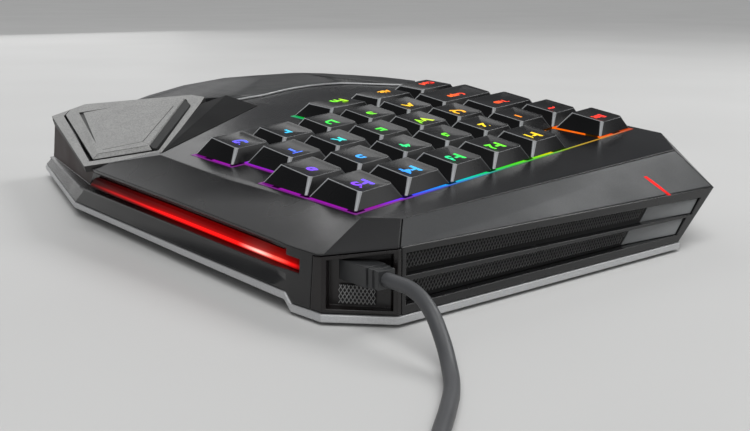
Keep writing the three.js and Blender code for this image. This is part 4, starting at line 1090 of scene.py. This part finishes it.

# %% [markdown]
# ## The slots' far ends
# Each slot ends in a sloped pocket that catches the light. Its front edge lies at the wall and
# its rear edge at the mesh, and a thin plate between the two is painted pale for that light, which
# the slot itself loses.

# %% Slot pockets
WALL_FACE, POCKET_BACK, POCKET_DEPTH = 120.1, 0.3, 0.3
pockets = [
    [(-56.2, 15.3), (-52.6, 11.1), (-30.5, 11.0), (-33.6, 15.2)],
    [(-49.3, 10.1), (-45.4, 5.5), (-22.2, 5.4), (-25.6, 9.6)],
]
for number, points in enumerate(pockets, start=1):
    front = [Vector((x, WALL_FACE, z)) for x, z in points[:2]]
    rear = [Vector((x, MESH_FRONT - POCKET_BACK, z)) for x, z in points[2:]]
    bm = bmesh.new()
    loft(bm, [front + rear, [p - rear_out * POCKET_DEPTH for p in front + rear]])
    piece_from(f"slot_pocket_{number}", bm, [lit_pocket_abs], "housing")
print("pockets:", len(pockets))

# %% [markdown]
# ## The mesh in the cable's recess
# The block in the cut corner has a small window beside the cable, closed by a brighter mesh
# of the same kind. It is near the camera, so it keeps its real pitch of 0.85 mm.

# %% Recess mesh
BAY_PITCH, BAY_STRAND = 0.85, 0.2
bay_left, bay_right = Vector((75.22, 108.91, 5.1)), Vector((69.36, 115.75, 5.1))
bay_out = Vector((0.76, 0.65, 0)).normalized()
bay_height = Vector((0, 0, 4.6))
bay_corners = [bay_left, bay_right, bay_right + bay_height, bay_left + bay_height]
bm = bmesh.new()
strands(bm, bay_corners, bay_out, BAY_PITCH, BAY_STRAND)
shade_sheet_behind(bm, bay_corners, bay_out, gap=0.65, depth=0.15)
bay_mesh = piece_from("bay_mesh", bm, [wire_metal, base_abs], "housing")
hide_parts("bay_grille")
print("strand faces:", len(bay_mesh.data.polygons))

# %% [markdown]
# ## The thumb region
# The thumb plate, the strip beside it and their frame lie in one plane that leans to the
# right. Their outlines are drawn flat in that plane, in mm from its rear right corner, and
# one matrix stands them up.

# %% Outlines in the thumb's plane
thumb_up = Vector((0.267, -0.043, 0.963)).normalized()
thumb_across = (Vector((1, 0, 0)) - thumb_up * thumb_up.x).normalized()
thumb_along = thumb_up.cross(thumb_across)
THUMB_CORNER = (80.988, -15.398, 23.50)
thumb_turn = Matrix((thumb_across, thumb_along, thumb_up)).transposed().to_4x4()
thumb_place = Matrix.Translation(THUMB_CORNER) @ thumb_turn
thumb_outline = [(-0.4, -1.6), (-13.1, 16.5), (-14.9, 11.4), (-54.3, -32.8), (-38.9, -92.6),
                 (-33.3, -94.9), (-28.6, -88.7)]
thumb_face = [(-3.2, -3.3), (-14.1, 12.2), (-15.1, 10.8), (-54.1, -32.8), (-39.4, -91.0),
              (-36.2, -91.4), (-33.9, -86.8)]
frame_outline = [(4.56, 1.9), (-11.5, 25.46), (-52.35, -18.34), (-59.0, -26.03), (-60.04, -38.0),
                 (-41.04, -96.52), (-26.03, -97.47)]
frame_hole = [(1.0, -1.6), (-12.5, 17.9), (-13.9, 19.5), (-48.9, -19.8), (-55.4, -34.0),
              (-39.7, -93.4), (-33.2, -95.6), (-27.9, -89.2)]
grip_outline = [(-13.5, 16.9), (-14.1, 17.9), (-49.9, -21.2), (-53.9, -32.2), (-15.1, 11.6)]


def level_ring(points, z):
    """A closed ring of plan points at one height."""
    return [Vector((x, y, z)) for x, y in points]


print("thumb plane leans by", round(math.degrees(thumb_up.angle((0, 0, 1))), 1), "degrees")

# %% [markdown]
# ## The thumb plate
# It is one painted moulding with a wide soft bevel. A Bevel modifier makes bevels of even
# width, and this one is uneven, so the plate is a loft from its outline to its upper face.
# The lower wall is painted dark as shade, so the slit round the plate reads black.

# %% Thumb plate
THUMB_TOP, THUMB_FOOT, THUMB_SHOULDER, FLAT_ANGLE = 0.9, -2.4, 0.15, 4
bm = bmesh.new()
loft(bm, [level_ring(thumb_outline, THUMB_FOOT), level_ring(thumb_outline, THUMB_SHOULDER),
          level_ring(thumb_face, THUMB_TOP)], material=lambda ring, side: 1 if ring == 0 else 0)
bmesh.ops.transform(bm, matrix=thumb_place, verts=bm.verts)
thumb_plate = piece_from("thumb_plate", bm, [silver_paint, gap_shade], "thumb",
                         FLAT_ANGLE)
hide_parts("thumb_key")
print("faces before the cuts:", len(thumb_plate.data.polygons))

# %% [markdown]
# ## Outlines of the grooves
# A wedge-shaped groove runs out to nothing at both ends, and thin straight ones frame it.
# Each outline is worked out from the groove's own line, so that its width is one number.

# %% Groove outlines
GROOVE_WIDTH, LINE_WIDTH = 1.5, 0.3
wedge_groove = [(-38.9, -66.1), (-30.8, -79.7), (-9.1, -17.0)]
line_grooves = [((-46.4, -27.7), (-16.2, 4.7)), ((-16.2, 4.7), (-6.4, -5.9)),
                ((-3.2, -3.3), (-14.1, 12.2)), ((-3.2, -3.3), (-0.5, -1.7))]


def wedge_outline(points):
    """The wedge of a bent groove: widest at its corner, with both ends at a point."""
    end, corner, other = (Vector(p) for p in points)
    inward = ((end - corner).normalized() + (other - corner).normalized()).normalized()
    half = (end - corner).angle(other - corner) / 2
    return [end, corner, other, corner + inward * GROOVE_WIDTH / math.sin(half)]


def line_outline(points):
    """A straight groove of even width."""
    start, end = (Vector(p) for p in points)
    along = (end - start).normalized() * LINE_WIDTH / 2
    side = Vector((-along.y, along.x))
    return [start - along - side, end + along - side, end + along + side, start - along + side]


groove_outlines = [wedge_outline(wedge_groove)] + [line_outline(line) for line in line_grooves]
print("grooves:", len(groove_outlines))

# %% [markdown]
# ## Cutting the grooves
# The mould leaves such grooves as clean cuts, so a boolean cut with thin wedges makes them,
# and the cutter hands its dark material, a painted shade, to the new faces. The cut mesh
# replaces the plate's own, and the cutters go.

# %% Grooves
GROOVE_DEPTH, CUTTER_RISE = 0.8, 1
cutters = []
for cut_outline in groove_outlines:
    bm = bmesh.new()
    loft(bm, [level_ring(cut_outline, THUMB_TOP - GROOVE_DEPTH),
              level_ring(cut_outline, THUMB_TOP + CUTTER_RISE)])
    bmesh.ops.transform(bm, matrix=thumb_place, verts=bm.verts)
    cutter = shape_from("groove_cutter", bm, [groove_shade], FLAT_ANGLE)
    cut = thumb_plate.modifiers.new("groove", "BOOLEAN")
    cut.object = cutter
    cut.solver = "EXACT"
    cut.material_mode = "TRANSFER"
    cutters.append(cutter)
bpy.context.view_layer.update()
cut_plate = thumb_plate.evaluated_get(bpy.context.evaluated_depsgraph_get())
carved = bpy.data.meshes.new_from_object(cut_plate)
thumb_plate.modifiers.clear()
thumb_plate.data = carved
carved.shade_flat()
for cutter in cutters:
    bpy.data.objects.remove(cutter)
print("faces after the cuts:", len(carved.polygons))

# %% [markdown]
# ## The strip beside the thumb plate
# A strip of grained rubber fills the plate's inner edge and moves with it.

# %% Thumb strip
GRIP_TOP = 0.5
bm = bmesh.new()
loft(bm, [level_ring(grip_outline, THUMB_FOOT), level_ring(grip_outline, GRIP_TOP)])
bmesh.ops.transform(bm, matrix=thumb_place, verts=bm.verts)
grip = piece_from("thumb_grip", bm, [grip_rubber], "thumb", FLAT_ANGLE)
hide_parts("thumb_key_grip")
print("strip faces:", len(grip.data.polygons))

# %% [markdown]
# ## The thumb plate's frame
# The frame is a flat plate with a hole, so there is nothing to loft. Its two outlines are
# filled between with triangles at each level, and walls join the levels. The walls are painted
# dark as shade, like the plate's.

# %% Thumb frame
FRAME_FOOT = -2.0
bm = bmesh.new()
loops = {}
for level, z in (("low", FRAME_FOOT), ("high", 0.0)):
    edges = []
    for part, points in (("outline", frame_outline), ("hole", frame_hole)):
        ring = [bm.verts.new(p) for p in level_ring(points, z)]
        loops[level, part] = ring
        edges += [bm.edges.new(pair) for pair in zip(ring, ring[1:] + ring[:1])]
    bmesh.ops.triangle_fill(bm, use_beauty=True, edges=edges, normal=(0, 0, 1))
for part in ("outline", "hole"):
    low, high = loops["low", part], loops["high", part]
    for i in range(len(low)):
        j = (i + 1) % len(low)
        bm.faces.new((low[i], low[j], high[j], high[i])).material_index = 1
bmesh.ops.transform(bm, matrix=thumb_place, verts=bm.verts)
frame_plate = piece_from("thumb_surround", bm, [silver_paint, gap_shade], "housing",
                         FLAT_ANGLE)
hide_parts("thumb_frame")
print("frame faces:", len(frame_plate.data.polygons))

# %% [markdown]
# ## The red light bar
# A clear bar with lamps behind it glows unevenly: hottest where a lamp sits, deep red at the
# ends and along its edges. Two ramps are multiplied, one over the length of the case and one
# up the bar, which sinks a little towards the rear as the case does.

# %% Red light bar
BAR_RISE = (0.0, 0.0238, 1.0)
BAR_FOOT, BAR_HEAD = 13.4, 16.6
RED_STRENGTH = 1.6


def red_light(name, node, stops, heights, across):
    """A red diffuser with stops along a node's length in y, and stops between two heights."""
    low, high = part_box(node)
    material, tree, shader, place = start_material(name)
    length = add(tree, "SeparateXYZ", {"Vector": place}).outputs["Y"]
    share = add(tree, "MapRange", {"Value": length, "From Min": low.y, "From Max": high.y})
    colour = add(tree, "ValToRGB", {"Fac": share.outputs["Result"]}, stops=stops)
    colour.color_ramp.interpolation = "EASE"
    rise = add(tree, "VectorMath", {0: place, 1: BAR_RISE}, operation="DOT_PRODUCT")
    level = add(tree, "MapRange", {"Value": rise.outputs["Value"], "From Min": heights[0] * MM,
                                   "From Max": heights[1] * MM})
    glow = add(tree, "ValToRGB", {"Fac": level.outputs["Result"]}, stops=across)
    both = add(tree, "VectorMath", {0: colour.outputs["Color"], 1: glow.outputs["Color"]},
               operation="MULTIPLY")
    feed(shader, {"Emission Color": both.outputs["Vector"], "Emission Strength": RED_STRENGTH,
                  "Base Color": linear("#1c0203"), "Roughness": 0.5, "Specular IOR Level": 0.08})
    return material


bar_light = red_light("red_light_guide", "side_light_bar",
                      [(0.0, "#380304"), (0.2, "#9c080a"), (0.5, "#f01010"), (0.76, "#ff1410"),
                       (0.85, "#ffb8ac"), (0.91, "#ff5a4c"), (0.97, "#d00e0e"), (1.0, "#700606")],
                      (BAR_FOOT, BAR_HEAD),
                      [(0.0, "#300000"), (0.14, "#a03838"), (0.27, "#ffffff"), (0.36, "#ffffff"),
                       (0.48, "#903c3c"), (0.7, "#682a2a"), (1.0, "#501a1a")])
finish("side_light_bar", bar_light)
print("materials so far:", len(bpy.data.materials))

# %% [markdown]
# ## The red mark
# A small lit mark is sunk in the plate on the rear slope. The plate is twisted, so a flat
# strip would dive under it. The strip is lofted in steps, each at the plate's own height,
# which is found by stepping towards the plan point.

# %% Red mark
MARK_FOOT, MARK_HEAD = 18.5, 26.0
MARK_WIDTH, MARK_PROUD, MARK_SINK, MARK_STEPS, SEARCH_STEPS = 1.25, 0.12, 1.2, 6, 20
mark_line = [Vector((-37.5, 113.6)), Vector((-40.4, 120.7))]
mark_light = red_light("red_mark", "indicator_light",
                       [(0.0, "#d00404"), (0.3, "#ff0c08"), (0.7, "#ff0c08"), (1.0, "#d00404")],
                       (MARK_FOOT, MARK_HEAD), [(0.0, "#d8d8d8"), (1.0, "#ffffff")])


def on_plate(p):
    """The height of the rear plate at a plan point."""
    u = v = 0.5
    for _ in range(SEARCH_STEPS):
        miss = p - plate_point(u, v).xy
        u -= miss.x / (plate_top[0].x - plate_top[1].x)
        v += miss.y / (plate_foot[0].y - plate_top[0].y)
    return plate_point(u, v, MARK_PROUD).z


bm = bmesh.new()
rings = []
for k in range(MARK_STEPS + 1):
    p = mark_line[0].lerp(mark_line[1], k / MARK_STEPS)
    z = on_plate(p)
    rings.append([Vector((p.x + side * MARK_WIDTH / 2, p.y, z - sink)) for side, sink in
                  ((-1, 0), (1, 0), (1, MARK_SINK), (-1, MARK_SINK))])
loft(bm, rings)
mark = piece_from("rear_mark", bm, [mark_light], "housing")
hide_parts("indicator_light")
print("mark faces:", len(mark.data.polygons))

# %% [markdown]
# ## The floor
# The object stands on a plain pale floor. Even a studio floor isn't one flat colour, so weak
# noise varies it.

# %% Floor
FLOOR_SIZE, FLOOR_CLOUDS = 14.0, 6.0
bm = bmesh.new()
bmesh.ops.create_grid(bm, x_segments=1, y_segments=1, size=FLOOR_SIZE)
floor_mesh = bpy.data.meshes.new("floor")
bm.to_mesh(floor_mesh)
bm.free()
floor = bpy.data.objects.new("floor", floor_mesh)
scene.collection.objects.link(floor)
floor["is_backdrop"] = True
material, tree, shader, place = start_material("pale_floor")
cloud = add(tree, "TexNoise", {"Vector": place, "Scale": FLOOR_CLOUDS}).outputs["Fac"]
colour = add(tree, "ValToRGB", {"Fac": cloud}, stops=zip(CLOUD_ENDS, ("#bdbdbc", "#c2c2c1")))
feed(shader, {"Base Color": colour.outputs["Color"], "Roughness": 0.6})
floor_mesh.materials.append(material)
print("floor in m:", 2 * FLOOR_SIZE)

# %% [markdown]
# ## Studio light
# A broad sun stands in for a large overhead soft box, with a fill from beside the camera. A
# big source is what makes satin plastic read as satin, because its edges are soft. Black
# plastic shows what it mirrors, so no lamp stands where the deck would mirror it.

# %% Lamps and world
SUN_SPREAD, SUN_POWER, SUN_FROM = math.radians(48), 2.2, Vector((0.3, 0.4, 1))
WORLD_COLOUR, WORLD_POWER = "#d8dade", 0.16
LAMP_TARGET = Vector((0, 0, 0.02))
soft_boxes = {
    "side_strip": {"place": (-0.75, 0.1, 0.85), "size": 0.5, "power": 5},
    "front_sheen": {"place": (-0.15, -1.15, 0.46), "size": 0.9, "power": 2.2},
    "cap_top_sheen": {"place": (-0.51, -0.65, 0.80), "size": 0.35, "power": 0.6},
    "key_sheen": {"place": (-0.62, 0.75, 0.33), "size": 0.5, "power": 0.9},
    "camera_fill": {"place": (0.75, 0.75, 0.5), "size": 0.6, "power": 2},
}
sky = bpy.data.lights.new("large_overhead", "SUN")
sky.angle = SUN_SPREAD
sky.energy = SUN_POWER
sky_holder = bpy.data.objects.new("large_overhead", sky)
scene.collection.objects.link(sky_holder)
sky_holder.rotation_euler = SUN_FROM.to_track_quat("Z", "Y").to_euler()
for name, box in soft_boxes.items():
    lamp = bpy.data.lights.new(name, "AREA")
    lamp.size = box["size"]
    lamp.energy = box["power"]
    holder = bpy.data.objects.new(name, lamp)
    scene.collection.objects.link(holder)
    holder.location = box["place"]
    way = LAMP_TARGET - Vector(box["place"])
    holder.rotation_euler = way.to_track_quat("-Z", "Y").to_euler()
world = bpy.data.worlds.new("studio")
world.use_nodes = True
feed(world.node_tree.nodes["Background"], {"Color": linear(WORLD_COLOUR), "Strength": WORLD_POWER})
scene.world = world
print("soft boxes:", len(soft_boxes))

# %% [markdown]
# ## Sizes
# How far the dressed model grows past the construction's box is printed. The dressed
# model has to keep to the construction's box.

# %% Sizes and finish
bpy.context.view_layer.update()
shown_low, shown_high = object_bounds()
grown = [*(cad_low - shown_low), *(shown_high - cad_high)]
print("grown in mm:", [round(x / MM, 2) for x in grown])
